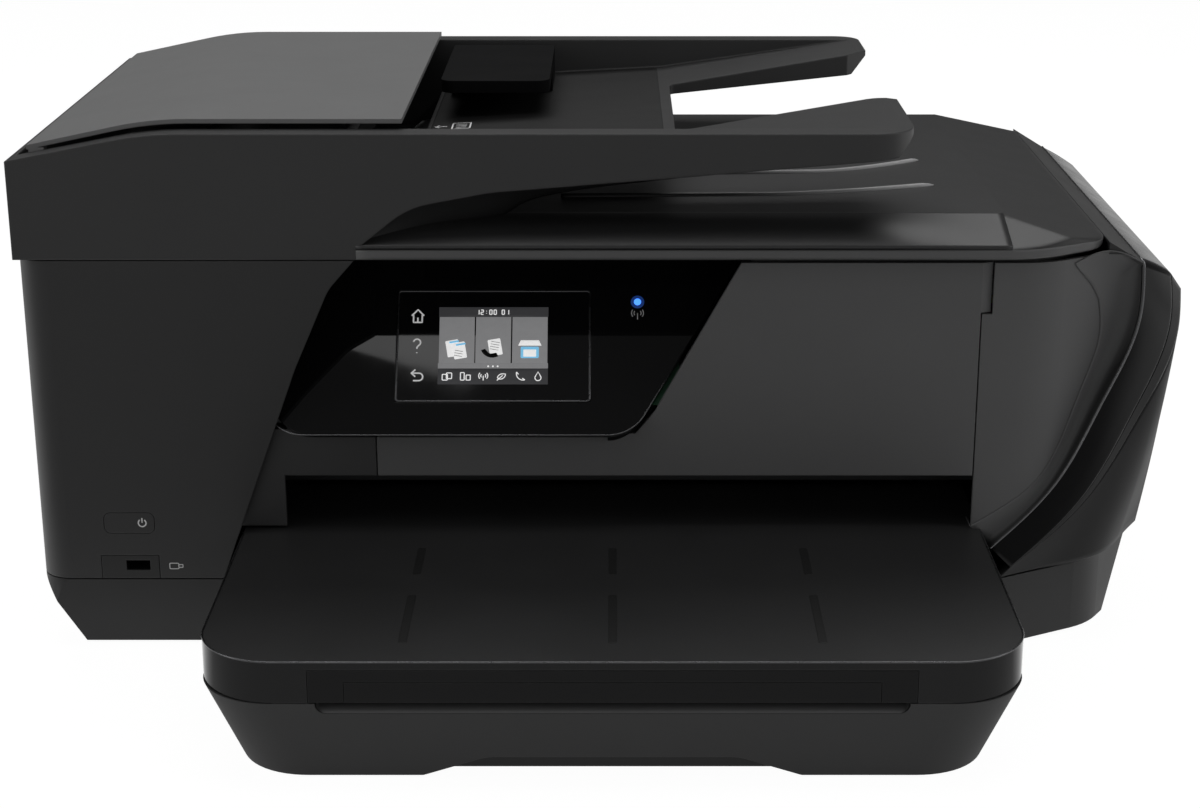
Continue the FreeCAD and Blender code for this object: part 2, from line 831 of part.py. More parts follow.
def tray_guides():
    half = "guide_sheet_width / 2"
    along = ("guide_rear_y - guide_length", "guide_rear_y")
    for side, sign in (("left", "-1"), ("right", "1")):
        wall_part = side_box(f"guide_wall_{side}", sign, (half, f"{half} + guide_thick"), along,
                             ("guide_z", "guide_z + guide_height"))
        foot = side_box(f"guide_foot_{side}", sign, (half, f"{half} + guide_foot"), along,
                        ("guide_z", "guide_z + guide_thick"))
        node(fuse(f"width_guide_{side}", wall_part, foot))
    stop_y = "tray_front_y + stop_front_gap"
    across = ("-stop_half_width", "stop_half_width")
    upright = box("stop_wall", across, (stop_y, f"{stop_y} + guide_thick"),
                  ("guide_z", "guide_z + guide_height"))
    foot = box("stop_foot", across, (stop_y, f"{stop_y} + guide_foot"), ("guide_z", "guide_z + guide_thick"))
    node(fuse("length_guide", upright, foot))


# Left side: cover, power key, front memory socket


def wall_corner(thick, tip, back):
    """An L in plan: the left side and the left part of the front, with a thickness."""
    return [
        ("left_x", back),
        ("left_x", "front_y"),
        (tip, "front_y"),
        (tip, f"front_y + {thick}"),
        (f"left_x + {thick}", f"front_y + {thick}"),
        (f"left_x + {thick}", back),
    ]


def left_cover():
    shell = prism("left_shell", "XY", wall_corner("wall", "edge_top_x", "back_y"), ("cover_low", "deck_top"),
                  {1: "corner_radius", 4: "corner_radius - wall"})
    ledge_plan = wall_corner("wall + ledge_wide", "edge_low_x", "back_y - wall - slide_gap")
    ledge = prism("left_ledge", "XY", ledge_plan, ("deck_low - ledge_tall", "deck_low"), {1: "corner_radius"})
    edge = [
        ("edge_low_x", "base_height"),
        ("edge_mid_x", "edge_mid_z"),
        ("edge_high_x", "edge_high_z"),
        ("edge_top_x", "deck_top + overcut"),
        ("0", "deck_top + overcut"),
        ("0", "base_height"),
    ]
    through = ("front_y - overcut", "front_y + overcut")
    front_edge = prism("left_front_edge", "XZ", edge, through, {2: "edge_radius"})
    key_room = prism("key_room", "XZ", rectangle(("key_left_x - slide_gap", "key_right_x + slide_gap"),
                     ("key_low_z - slide_gap", "key_high_z + slide_gap")), through,
                     {index: "key_radius + slide_gap" for index in range(4)})
    usb_room = box("usb_room", ("usb_plate_left_x - slide_gap", "usb_plate_right_x + slide_gap"), through,
                   ("cover_low - overcut", "usb_plate_high_z + slide_gap"))
    node(cut("left_cover", fuse("left_body", shell, ledge), front_edge, key_room, usb_room))


def power_key():
    front = ("front_y", "front_y + wall + key_travel + seam_gap")
    cap = prism("key_cap", "XZ", rectangle(("key_left_x", "key_right_x"), ("key_low_z", "key_high_z")), front,
                {index: "key_radius" for index in range(4)})
    flange = box("key_flange_plate", ("key_left_x - key_flange", "key_right_x + key_flange"),
                 ("front_y + wall + slide_gap", "front_y + wall + slide_gap + wall"),
                 ("key_low_z - key_flange", "key_high_z + key_flange"))
    middle_x = "(key_left_x + key_right_x) / 2"
    middle_z = "(key_low_z + key_high_z) / 2"
    stem_end = "front_y + 2 * wall + key_stem"
    stem = rod("key_stem_rod", "Y", "screw_radius", ("front_y + wall", stem_end), (middle_x, middle_z))
    node(fuse("power_key", cap, flange, stem))
    switch_y = f"{stem_end} + key_travel + slide_gap"
    switch = box("key_switch", (f"{middle_x} - key_height / 2", f"{middle_x} + key_height / 2"),
                 (switch_y, f"{switch_y} + wall"),
                 (f"{middle_z} - key_height / 2", f"{middle_z} + key_height / 2"))
    carrier = box("key_carrier", ("left_x + wall + slide_gap", "key_right_x + key_stem"),
                  (f"{switch_y} + wall", f"{switch_y} + wall + board_thick"),
                  ("key_low_z - key_stem", "key_high_z + key_stem"))
    return fuse("key_board", switch, carrier)


def front_socket():
    """The front memory socket, with the small plate that it looks through."""
    inner_y = ("front_y + wall", "front_y + wall + usb_depth")
    outside = box("usb_outside", ("usb_left_x - wall / 2", "usb_right_x + wall / 2"), inner_y,
                  ("usb_low_z - wall / 2", "usb_high_z + wall / 2"))
    plate = box("usb_plate", ("usb_plate_left_x", "usb_plate_right_x"), ("front_y", "front_y + wall"),
                ("cover_low", "usb_plate_high_z"))
    inside = box("usb_inside", ("usb_left_x", "usb_right_x"), ("front_y - overcut", "front_y + usb_depth"),
                 ("usb_low_z", "usb_high_z"))
    tongue = box("usb_tongue", ("usb_left_x + slide_gap", "usb_right_x - slide_gap"),
                 ("front_y + 2 * wall", "front_y + usb_depth + wall / 2"),
                 ("usb_high_z - wall / 2", "usb_high_z - slide_gap"))
    return fuse("memory_socket", cut("usb_shell", fuse("usb_body", outside, plate), inside), tongue)


# Front: pillar, door, right panel


def trunnion(name, x, direction):
    """A moulded pin for the door, from a fixed piece's end face."""
    span = (x, f"{x} + door_pin_long") if direction > 0 else (f"{x} - door_pin_long", x)
    return rod(name, "X", "door_pin_radius", span, ("door_axis_y", "door_knuckle_z"))


def front_pillar():
    end = "door_left_x - door_gap"
    outline = [
        ("edge_low_x", "pillar_low_z"),
        ("slot_left_x", "pillar_low_z"),
        ("slot_left_x", "door_low_z"),
        (end, "door_low_z"),
        (end, "door_shelf_z + wall"),
        ("edge_low_x + fascia_setback", "door_shelf_z + wall"),
    ]
    plate = prism("pillar_plate", "XZ", outline, ("fascia_y", "fascia_back"))
    boss = box("pillar_boss", (f"{end} - door_pin_long", end),
               ("fascia_y", "door_axis_y + door_knuckle_radius"),
               ("door_knuckle_z - door_knuckle_radius", "door_knuckle_z + door_knuckle_radius"))
    tie = box("pillar_tie", ("edge_low_x", "edge_low_x + fascia_setback"), ("front_y + wall", "fascia_back"),
              ("pillar_low_z", "door_low_z"))
    node(fuse("front_pillar", plate, boss, tie, trunnion("pillar_pin", end, 1)))


def front_door():
    outline = [
        ("door_left_x", "door_low_z"),
        ("door_right_x", "door_low_z"),
        ("door_right_x", "door_high_z"),
        ("door_peak_x", "door_high_z"),
        ("door_step_x", "door_step_z"),
        ("door_cut_x", "door_shelf_z"),
        ("door_left_x", "door_shelf_z"),
    ]
    plate = prism("door_plate", "XZ", outline, ("fascia_y", "fascia_back"))
    length = "(door_pin_long + wall)"
    knuckles = []
    bores = []
    for side, span in (("left", ("door_left_x", f"door_left_x + {length}")),
                       ("right", (f"door_right_x - {length}", "door_right_x"))):
        knuckles.append(rod(f"door_knuckle_{side}", "X", "door_knuckle_radius", span,
                            ("door_axis_y", "door_knuckle_z")))
        bores.append(rod(f"door_bore_{side}", "X", "door_pin_radius + running_fit", span,
                         ("door_axis_y", "door_knuckle_z")))
    ear = prism("door_ear", "XY", [
        ("door_right_x - wall", "fascia_y"),
        ("door_right_x", "fascia_y"),
        ("door_right_x + finger_width", "fascia_back - finger_edge"),
        ("door_right_x + finger_width", "fascia_back"),
        ("door_right_x - wall", "fascia_back"),
    ], ("finger_low_z + door_gap", "door_high_z"))
    node(cut("front_door", fuse("door_body", plate, ear, *knuckles), *bores))


def right_panel():
    left = "door_right_x + door_gap"
    bend_back = "fascia_y + panel_bend_depth"
    plan = [
        (left, "fascia_y"),
        ("panel_bend_x", "fascia_y"),
        ("strip_x + panel_tuck", bend_back),
        ("strip_x + panel_tuck", f"{bend_back} + fascia_thick"),
        ("panel_bend_x", "fascia_back"),
        (left, "fascia_back"),
    ]
    sheet = prism("right_sheet", "XY", plan, ("pillar_low_z", "door_high_z"),
                  {1: "bevel_radius", 4: "bevel_radius"})
    outside = [
        ("trim_x_start + panel_tuck", "pillar_low_z - overcut"),
        ("trim_x_low + panel_tuck", "trim_z_low"),
        ("trim_x_mid + panel_tuck", "trim_z_mid"),
        ("trim_x_high + panel_tuck", "trim_z_high"),
        ("trim_x_high + panel_tuck", "door_high_z + overcut"),
        ("right_x", "door_high_z + overcut"),
        ("right_x", "pillar_low_z - overcut"),
    ]
    through = ("front_y - overcut", "side_front_y")
    trimming = prism("right_trimming", "XZ", outside, through)
    under_strip = prism("right_under_strip", "XZ", [
        ("strip_inner_x", "strip_inner_z - seat_z - 2 * wall"),
        ("strip_x + overcut", "strip_z - seat_z - 2 * wall - overcut"),
        ("strip_x + overcut", "strip_inner_z"),
        ("strip_inner_x", "strip_inner_z"),
    ], through)
    finger = box("finger_room", (f"{left} - overcut", f"{left} + finger_width"),
                 ("front_y", "fascia_back + overcut"), ("finger_low_z", "door_high_z + overcut"))
    boss = box("right_boss", (left, f"{left} + door_pin_long"),
               ("fascia_y", "door_axis_y + door_knuckle_radius"),
               ("door_knuckle_z - door_knuckle_radius", "door_knuckle_z + door_knuckle_radius"))
    node(fuse("right_panel", cut("right_plate", sheet, trimming, under_strip, finger), boss,
              trunnion("right_pin", left, -1)))


# Sloped control panel


def control_panel():
    outline = [
        ("panel_left_x", "0"),
        ("panel_right_low_x", "0"),
        ("panel_right_high_x", "panel_rise"),
        ("panel_left_top_x", "panel_rise"),
        ("panel_left_high_x", "panel_left_high"),
    ]
    plate = tilt_panel(prism("panel_plate", "XZ", outline, ("0", "panel_thick"),
                             {0: "panel_corner", 1: "panel_corner", 4: "panel_corner"}))
    glass = rectangle(("glass_left_x", "glass_right_x"), ("glass_low", "glass_high"))
    screen = rectangle(("screen_left_x", "screen_right_x"), ("screen_low", "screen_high"))
    light = rectangle(("light_x - light_radius", "light_x + light_radius"),
                      ("light_rise - light_radius", "light_rise + light_radius"))
    recess = tilt_panel(prism("panel_recess", "XZ", glass, ("-overcut", "glass_recess")))
    window = tilt_panel(prism("panel_window", "XZ", screen, ("-overcut", "panel_thick + overcut")))
    light_hole = tilt_panel(prism("panel_light_hole", "XZ", light, ("-overcut", "panel_thick + overcut")))
    node(cut("control_panel", plate, recess, window, light_hole))
    inset = rectangle(("glass_left_x + slide_gap", "glass_right_x - slide_gap"),
                      ("glass_low + slide_gap", "glass_high - slide_gap"))
    node(tilt_panel(prism("touch_glass", "XZ", inset, ("-slide_gap", "glass_recess"))))
    module = rectangle(("screen_left_x + slide_gap", "screen_right_x - slide_gap"),
                       ("screen_low + slide_gap", "screen_high - slide_gap"))
    node(tilt_panel(prism("screen_module", "XZ", module, ("glass_recess", "glass_recess + screen_thick"))))
    lens = rectangle(("light_x - light_radius + running_fit", "light_x + light_radius - running_fit"),
                     ("light_rise - light_radius + running_fit", "light_rise + light_radius - running_fit"))
    node(tilt_panel(prism("status_light", "XZ", lens, ("0", "panel_thick"))))
    board = rectangle(("glass_left_x", "light_x + panel_corner"), ("glass_low", "glass_high"))
    board_y = "glass_recess + screen_thick"
    return tilt_panel(prism("panel_board", "XZ", board, (board_y, f"{board_y} + board_thick")))


# Right side: cover, corner, trim strip


def right_profile(thick):
    """Section of the right side from the lid's edge down to the base, with its inner face."""
    outer = [
        ("strip_inner_x", "strip_inner_z"),
        ("strip_x", "strip_z"),
        ("strip_x - seat_x", "strip_z - seat_z"),
        ("shoulder_x - seat_x", "shoulder_z - seat_z"),
        ("shoulder_x", "shoulder_z"),
        ("right_x", "bulge_z"),
        ("right_seam_x", "cover_low"),
    ]
    inner = [
        (f"right_seam_x - {thick}", "cover_low"),
        (f"right_x - {thick}", f"bulge_z - {thick} / 2"),
        (f"shoulder_x - {thick}", f"shoulder_z - trim_thick - 2 * {thick}"),
        (f"strip_x - {thick} / 2", f"strip_z - trim_thick - 2 * {thick}"),
        ("strip_inner_x", f"strip_inner_z - 2 * {thick}"),
    ]
    return outer + inner


def right_cover():
    """The side wall, with a strip beside the lid that runs on to the front corner."""
    side = prism("right_side", "XZ", right_profile("wall"), ("side_front_y + slide_gap", "back_y"))
    strip = prism("right_strip", "XZ", [
        ("strip_inner_x", "strip_inner_z"),
        ("strip_x", "strip_z"),
        ("strip_x - seat_x", "strip_z - seat_z"),
        ("strip_inner_x", "strip_inner_z - seat_z"),
    ], ("front_y + trim_corner_depth", "side_front_y + 2 * slide_gap"))
    slope = "(strip_x - strip_inner_x) / (strip_inner_z - strip_z)"
    gusset = prism("right_gusset", "XZ", [
        ("strip_inner_x", "strip_inner_z"),
        (f"strip_inner_x + (strip_inner_z - door_high_z - seam_gap) * {slope}", "door_high_z + seam_gap"),
        ("strip_inner_x", "door_high_z + seam_gap"),
    ], ("front_y + trim_corner_depth - wall", "front_y + trim_corner_depth + wall"))
    node(fuse("right_cover", side, strip, gusset))


def corner_rails():
    """Stations of the curved right front corner: inner trim edge, outer trim edge, bulge, seam."""
    xs = [value(f"trim_x_{word}") for word in TRIM_WORDS] + [value("strip_x")]
    zs = [value(f"trim_z_{word}") for word in TRIM_WORDS] + [value("strip_z")]
    front = value("front_y")
    low = value("cover_low")
    shares = [(z - zs[0]) / (zs[-1] - zs[0]) for z in zs]
    inner = [Vector(x, front + value("trim_corner_depth") * share, z) for x, z, share in zip(xs, zs, shares)]
    seam_points = [
        Vector(value("bevel_start_x"), front, low),
        Vector(value("bevel_mid_x"), front + value("bevel_mid_depth"), low),
        Vector(value("right_seam_x"), front + value("bevel_end_depth"), low),
    ]
    shoulder = Vector(value("shoulder_x"), inner[-1].y + value("trim_lean"), value("shoulder_z"))
    bulge = Vector(value("right_x"), shoulder.y + value("bulge_back"), value("bulge_z"))
    last = len(inner) - 1
    stations = []
    for index, (point, share) in enumerate(zip(inner, shares)):
        along = index / last
        ahead = inner[min(index + 1, last)] - inner[max(index - 1, 0)]
        side = Vector(ahead.z, 0, -ahead.x).normalize()
        growth = value("trim_width") - value("trim_start_width")
        width = value("trim_start_width") + growth * min(1, 2 * along)
        lean = AXES["Y"] * value("trim_lean") * share
        outer = shoulder if index == last else point + side * width + lean
        middle = outer + (bulge - shoulder) * along
        leg = min(int(2 * along), 1)
        seam = seam_points[leg] + (seam_points[leg + 1] - seam_points[leg]) * (2 * along - leg)
        stations.append([point, outer, middle, seam])
    return stations


def corner_sections(rows, inward):
    """Closed sections: each station's points, then the same points moved inwards."""
    wires = []
    for points, shift in zip(rows, inward):
        moved = [point + shift for point in reversed(points)]
        inner = [Vector(point.x, point.y, max(point.z, value("cover_low"))) for point in moved]
        ring = list(points) + inner
        wires.append(Part.makePolygon(ring + [ring[0]]))
    return wires


def flat_station(points, y):
    return [Vector(point.x, y, point.z) for point in points]


def solid_feature(name, shape):
    item = doc.addObject("Part::Feature", name)
    item.Shape = shape
    item.Placement = Placement()
    return item


def smooth_rails(rows):
    """More stations, on smooth curves through the given ones."""
    count = SIZES["corner_stations"]
    rails = []
    for rail in zip(*rows):
        curve = Part.BSplineCurve()
        curve.interpolate(list(rail))
        step = (curve.LastParameter - curve.FirstParameter) / (count - 1)
        rails.append([curve.value(curve.FirstParameter + step * index) for index in range(count)])
    return [list(row) for row in zip(*rails)]


def blend(first, second, share):
    return (first + (second - first) * share).normalize()


def right_corner():
    """The swept corner and its trim, from the tray's side up to the shoulder and back along it."""
    wall = value("wall")
    thick = value("trim_thick")
    gap = value("slide_gap")
    front = value("front_y")
    rows = smooth_rails(corner_rails())
    rows[0] = flat_station(rows[0], front)
    rows.append([Vector(value(f"{word}_x"), value("side_front_y"), value(level)) for word, level in (
        ("strip", "strip_z"), ("shoulder", "shoulder_z"), ("right", "bulge_z"), ("right_seam", "cover_low"))])
    square = Vector(-value("seat_x"), 0, -value("seat_z")).normalize()
    half = len(rows) // 2
    rest = len(rows) - half
    turns = [blend(FOOT_INWARD, CORNER_INWARD, index / half) for index in range(half)]
    turns += [blend(CORNER_INWARD, square, index / (rest - 1)) for index in range(rest)]
    seats = []
    for row, turn in zip(rows, turns):
        under = turn * (thick + gap)
        seats.append([row[0] + under, row[1] + under, row[2], row[3]])
    corner = corner_sections(seats, [turn * wall for turn in turns])
    node(solid_feature("right_corner", Part.makeLoft(corner, True, True)))
    strips = []
    for row in rows:
        along = (row[1] - row[0]).normalize() * gap
        strips.append([row[0] + along, row[1] - along])
    strips.append(flat_station(strips[-1], value("back_y")))
    shifts = [turn * thick for turn in turns + [square]]
    node(solid_feature("trim_strip", Part.makeLoft(corner_sections(strips, shifts), True, True)))


# Rear: cover, clean-out door, sockets


def rear_sockets():
    """Outlines of the mains inlet and of the data sockets, each left, low, wide and tall."""
    sockets = [("inlet_x", "inlet_z", "inlet_width", "inlet_height")]
    for index in range(SIZES["socket_count"]):
        sockets.append((f"socket_first_x + {index} * socket_pitch", "socket_low_z", "socket_width",
                        "socket_height"))
    return sockets


def rear_cover():
    inside = "left_x + wall + slide_gap"
    outline = [
        (inside, "cover_low"),
        ("right_seam_x - wall - slide_gap", "cover_low"),
        ("right_x - wall - slide_gap", "bulge_z - wall"),
        ("shoulder_x - wall - slide_gap", "shoulder_z - trim_thick - 3 * wall"),
        ("strip_inner_x", "strip_inner_z - 3 * wall"),
        ("strip_inner_x", "deck_top"),
        (inside, "deck_top"),
    ]
    span = ("back_y - wall", "back_y")
    plate = prism("rear_plate", "XZ", outline, span)
    through = ("back_y - wall - overcut", "back_y + overcut")
    holes = [box("rear_door_room", ("-rear_door_half_width - rear_gap", "rear_door_half_width + rear_gap"),
                 through,
                 ("rear_door_low_z - rear_hinge_room", "rear_door_high_z + rear_gap"))]
    holes.append(box("port_room", ("port_left_x", "port_right_x"), through, ("port_low_z", "port_high_z")))
    bosses = []
    pins = []
    for side, sign in (("left", "-1"), ("right", "1")):
        near = "rear_door_half_width + rear_gap"
        bosses.append(side_box(f"rear_boss_{side}", sign, (near, f"{near} + rear_pin_long"),
                               ("rear_axis_y - rear_knuckle_radius", "back_y - wall"),
                               ("rear_axis_z - rear_knuckle_radius", "rear_axis_z + rear_knuckle_radius")))
        far = f"{near} + rear_pin_long"
        end = f"{near} - rear_pin_long"
        low, high = (f"-({far})", f"-({end})") if sign == "-1" else (end, far)
        pins.append(rod(f"rear_pin_{side}", "X", "rear_pin_radius", (low, high),
                        ("rear_axis_y", "rear_axis_z")))
    node(fuse("rear_cover", cut("rear_panel", plate, *holes), *bosses, *pins))


def rear_door():
    half = "rear_door_half_width"
    plate = box("rear_door_plate", (f"-{half}", half), ("back_y - wall", "back_y"),
                ("rear_door_low_z", "rear_door_high_z"))
    knuckles = []
    bores = []
    for side, sign in (("left", "-1"), ("right", "1")):
        near = f"{half} - rear_pin_long - wall"
        knuckles.append(side_box(f"rear_knuckle_{side}", sign, (near, half),
                                 ("rear_axis_y - rear_knuckle_radius", "back_y - wall"),
                                 ("rear_door_low_z", "rear_axis_z + rear_knuckle_radius")))
        low, high = (f"-{half}", f"-({near})") if sign == "-1" else (near, half)
        bores.append(rod(f"rear_bore_{side}", "X", "rear_pin_radius + running_fit", (low, high),
                         ("rear_axis_y", "rear_axis_z")))
    node(cut("rear_door", fuse("rear_door_body", plate, *knuckles), *bores))


def socket_block(name, place, tile):
    """A socket in its tile of the rear cover: a block with its hollow open to the rear."""
    x, z, wide, tall = place
    rim = "socket_rim"
    outside = box(name + "_block", (f"{x} - {rim}", f"{x} + {wide} + {rim}"),
                  ("back_y - wall - socket_depth", "back_y - wall"),
                  (f"{z} - {rim}", f"{z} + {tall} + {rim}"))
    plate = box(name + "_tile", tile, ("back_y - wall", "back_y"),
                ("port_low_z + slide_gap", "port_high_z - slide_gap"))
    mouth = box(name + "_mouth", (x, f"{x} + {wide}"), ("back_y - wall", "back_y + overcut"),
                (z, f"{z} + {tall}"))
    inside = box(name + "_hollow", (f"{x} + {rim}", f"{x} + {wide} - {rim}"),
                 ("back_y - socket_depth", "back_y"), (f"{z} + {rim}", f"{z} + {tall} - {rim}"))
    return cut(name, fuse(name + "_body", outside, plate), mouth, inside)


def sockets(front):
    """The mains inlet, and the data sockets of the rear kept with the one of the front."""
    mains, *data = rear_sockets()
    shell = socket_block("mains_shell", mains,
                         ("port_left_x + slide_gap", "socket_first_x - port_margin - slide_gap"))
    x, z, wide, tall = mains
    pins = [rod(f"mains_pin_{word}", "Y", "inlet_pin_radius",
                ("back_y - socket_depth - wall", "back_y - 2 * wall"),
                (f"{x} + ({wide} {sign} inlet_pin_space) / 2", f"{z} + {tall} / 2"))
            for word, sign in (("left", "-"), ("right", "+"))]
    node(fuse("mains_inlet", shell, *pins))
    rear = []
    for index, place in enumerate(data):
        left = f"{place[0]} - port_margin"
        rear.append(socket_block(f"data_socket_{index}", place, (left, f"{left} + socket_pitch - slide_gap")))
    node(group("data_sockets", [front] + rear))


# Scanner under the lid


def scanner_deck():
    left = "left_x + wall + slide_gap"
    right = "lid_right_x - seam_gap"
    front = "fascia_back + seam_gap"
    back = "back_y - deck_back_gap"
    outline = [
        (left, front),
        ("panel_bend_x - overcut", front),
        (right, "fascia_back + panel_bend_depth"),
        (right, back),
        (left, back),
    ]
    plate = prism("deck_plate", "XY", outline, ("deck_low", "deck_top"), {0: "corner_radius"})
    recess = box("deck_recess", ("recess_left_x", "recess_right_x"), ("front_y", "recess_back_y"),
                 ("deck_low - overcut", "deck_top + overcut"))
    holes = [recess]
    along = ("glass_y_front", "glass_y_back")
    for name, low, high in (("platen", "glass_x_left", "glass_x_right"),
                            ("strip", "strip_glass_left", "strip_glass_right")):
        holes.append(box(f"deck_seat_{name}", (f"{low} - slide_gap", f"{high} + slide_gap"),
                         (f"{along[0]} - slide_gap", f"{along[1]} + slide_gap"),
                         ("deck_top - platen_glass_thick", "deck_top + overcut")))
        holes.append(box(f"deck_window_{name}", (f"{low} + glass_ledge", f"{high} - glass_ledge"),
                         (f"{along[0]} + glass_ledge", f"{along[1]} - glass_ledge"),
                         ("deck_low - overcut", "deck_top + overcut")))
    ears = []
    bores = []
    for side in ("left", "right"):
        for hand, sign in (("inner", "-"), ("outer", "+")):
            near = f"hinge_{side}_x {sign} (hinge_wide / 2 + slide_gap)"
            far = f"hinge_{side}_x {sign} (hinge_wide / 2 + slide_gap + ear_wide)"
            span = (far, near) if sign == "-" else (near, far)
            name = f"{side}_{hand}"
            ears.append(box(f"ear_{name}", span, ("hinge_y - ear_front", "hinge_y + ear_back"),
                            ("deck_top", "hinge_z + hinge_radius")))
            bores.append(rod(f"ear_bore_{name}", "X", "hinge_pin_radius", span, ("hinge_y", "hinge_z")))
    body = fuse("deck_body", cut("deck_panel", plate, *holes), *ears)
    node(cut("scanner_deck", body, *bores))


def scanner_glass():
    thick = ("deck_top - platen_glass_thick", "deck_top")
    along = ("glass_y_front", "glass_y_back")
    panes = [box("platen_glass", ("glass_x_left", "glass_x_right"), along, thick),
             box("strip_glass", ("strip_glass_left", "strip_glass_right"), along, thick)]
    node(group("scanner_glass", panes))


def scanner_tub():
    x = ("tub_left_x", "tub_right_x")
    y = ("tub_front_y", "tub_back_y")
    outside = box("tub_outside", x, y, ("tub_low_z", "deck_low"))
    inside = box("tub_hollow", (f"{x[0]} + wall", f"{x[1]} - wall"), (f"{y[0]} + wall", f"{y[1]} - wall"),
                 ("tub_low_z + wall", "deck_low + overcut"))
    node(cut("scanner_tub", outside, inside))
    return rod("scan_rod", "X", "scan_rod_radius", (f"{x[0]} + wall", f"{x[1]} - wall"),
               ("glass_middle_y", "scan_rod_z"))


def scan_bar():
    x = ("strip_glass_left", "strip_glass_left + scan_bar_width")
    bar = box("scan_bar_body", x, ("glass_y_front - glass_ledge / 2", "glass_y_back + glass_ledge / 2"),
              ("scan_bar_low_z", "deck_low - seam_gap"))
    boss = box("scan_bar_boss", x, ("glass_middle_y - scan_boss", "glass_middle_y + scan_boss"),
               ("scan_rod_z - scan_rod_radius - wall", "scan_bar_low_z"))
    bore = rod("scan_bar_bore", "X", "scan_rod_radius + running_fit", x, ("glass_middle_y", "scan_rod_z"))
    node(cut("scan_bar", fuse("scan_bar_block", bar, boss), bore))


# Lid and sheet feeder


def hinge_cuts(side):
    """Room in the lid's back for the deck's ears."""
    rooms = []
    for hand, sign in (("inner", "-"), ("outer", "+")):
        near = f"hinge_{side}_x {sign} hinge_wide / 2"
        far = f"hinge_{side}_x {sign} (hinge_wide / 2 + ear_wide + 3 * slide_gap)"
        span = (far, near) if sign == "-" else (near, far)
        rooms.append(box(f"lid_room_{side}_{hand}", span,
                         ("hinge_y - hinge_radius - hinge_room", "lid_back + overcut"),
                         ("lid_seam - overcut", "hinge_z + hinge_radius + hinge_room")))
    return rooms


def hinge_barrel(side):
    """The lid's barrel round the hinge pin, with its arm to the lid's back."""
    span = (f"hinge_{side}_x - hinge_wide / 2", f"hinge_{side}_x + hinge_wide / 2")
    barrel = rod(f"lid_barrel_{side}", "X", "hinge_radius", span, ("hinge_y", "hinge_z"))
    arm = box(f"lid_arm_{side}", span, ("lid_back - wall", "hinge_y"), ("lid_seam", "hinge_z + hinge_radius"))
    bore = rod(f"lid_bore_{side}", "X", "hinge_pin_radius + running_fit", span, ("hinge_y", "hinge_z"))
    return barrel, arm, bore


def hinge_pins():
    pins = []
    for side in ("left", "right"):
        reach = "hinge_wide / 2 + slide_gap + ear_wide"
        pins.append(rod(f"hinge_pin_{side}", "X", "hinge_pin_radius", (f"hinge_{side}_x - ({reach})",
                    f"hinge_{side}_x + {reach}"), ("hinge_y", "hinge_z")))
    node(group("hinge_pins", pins))


def pad_room(name, low, high):
    return box(name, (low, high), ("glass_y_front - glass_ledge", "glass_y_back + glass_ledge"),
               ("lid_seam - overcut", "lid_seam + pad_thick"))


def lid_panel():
    profile = [
        ("front_y", "lid_seam"),
        ("front_y", "lid_seam + lid_lip"),
        ("front_y + lid_slope_depth", "lid_top"),
        ("lid_back", "lid_top"),
        ("lid_back", "lid_seam"),
    ]
    slab = prism("lid_slab", "YZ", profile, ("feeder_split_x + slide_gap", "lid_right_x"))
    fall = "lid_right_drop * (lid_right_slope + overcut) / lid_right_slope"
    slope = prism("lid_slope", "XZ", [
        ("lid_right_x - lid_right_slope", "lid_top"),
        ("lid_right_x + overcut", f"lid_top - {fall}"),
        ("lid_right_x + overcut", "lid_top + overcut"),
        ("lid_right_x - lid_right_slope", "lid_top + overcut"),
    ], ("front_y - overcut", "back_y"))
    height = ("lid_seam - overcut", "lid_top + overcut")
    plan = prism("lid_plan", "XY", [
        ("lid_corner_x - lid_corner_radius", "back_y"),
        ("lid_corner_x - lid_corner_radius", "front_y"),
        ("lid_corner_x", "front_y"),
        ("lid_right_x", "front_y + lid_corner_depth"),
        ("lid_right_x", "back_y"),
    ], height, {2: "lid_corner_radius", 3: "lid_corner_depth"})
    around = box("lid_corner_block", ("lid_corner_x - lid_corner_radius", "lid_right_x + overcut"),
                 ("front_y - overcut", "back_y"), height)
    corner = cut("lid_corner", around, plan)
    skirt = prism("lid_skirt_room", "XZ", [
        ("feeder_split_x", "lid_seam + lid_lip - seam_gap"),
        ("feeder_split_x + seam_gap", "lid_seam + lid_lip - seam_gap"),
        ("skirt_rise_x + seam_gap", "skirt_rise_z - seam_gap"),
        ("feeder_split_x", "skirt_rise_z - seam_gap"),
    ], ("front_y - overcut", "back_y"))
    hollow = box("lid_hollow", ("skirt_rise_x", "lid_right_x - lid_right_slope"),
                 ("front_y + lid_slope_depth", "hinge_y - hinge_radius - hinge_room - lid_skin"),
                 ("lid_seam - overcut", "lid_top - lid_skin"))
    barrel, arm, bore = hinge_barrel("right")
    pad = pad_room("lid_pad_room", "feeder_split_x", "glass_x_right + glass_ledge")
    shell = cut("lid_shell", slab, slope, corner, skirt, hollow, pad, *hinge_cuts("right"))
    node(cut("lid_panel", fuse("lid_body", shell, barrel, arm), bore))
    node(box("lid_pad", ("glass_x_left - glass_ledge + slide_gap", "glass_x_right + glass_ledge - slide_gap"),
             ("glass_y_front - glass_ledge + slide_gap", "glass_y_back + glass_ledge - slide_gap"),
             ("deck_top + slide_gap", "lid_seam + pad_thick")))


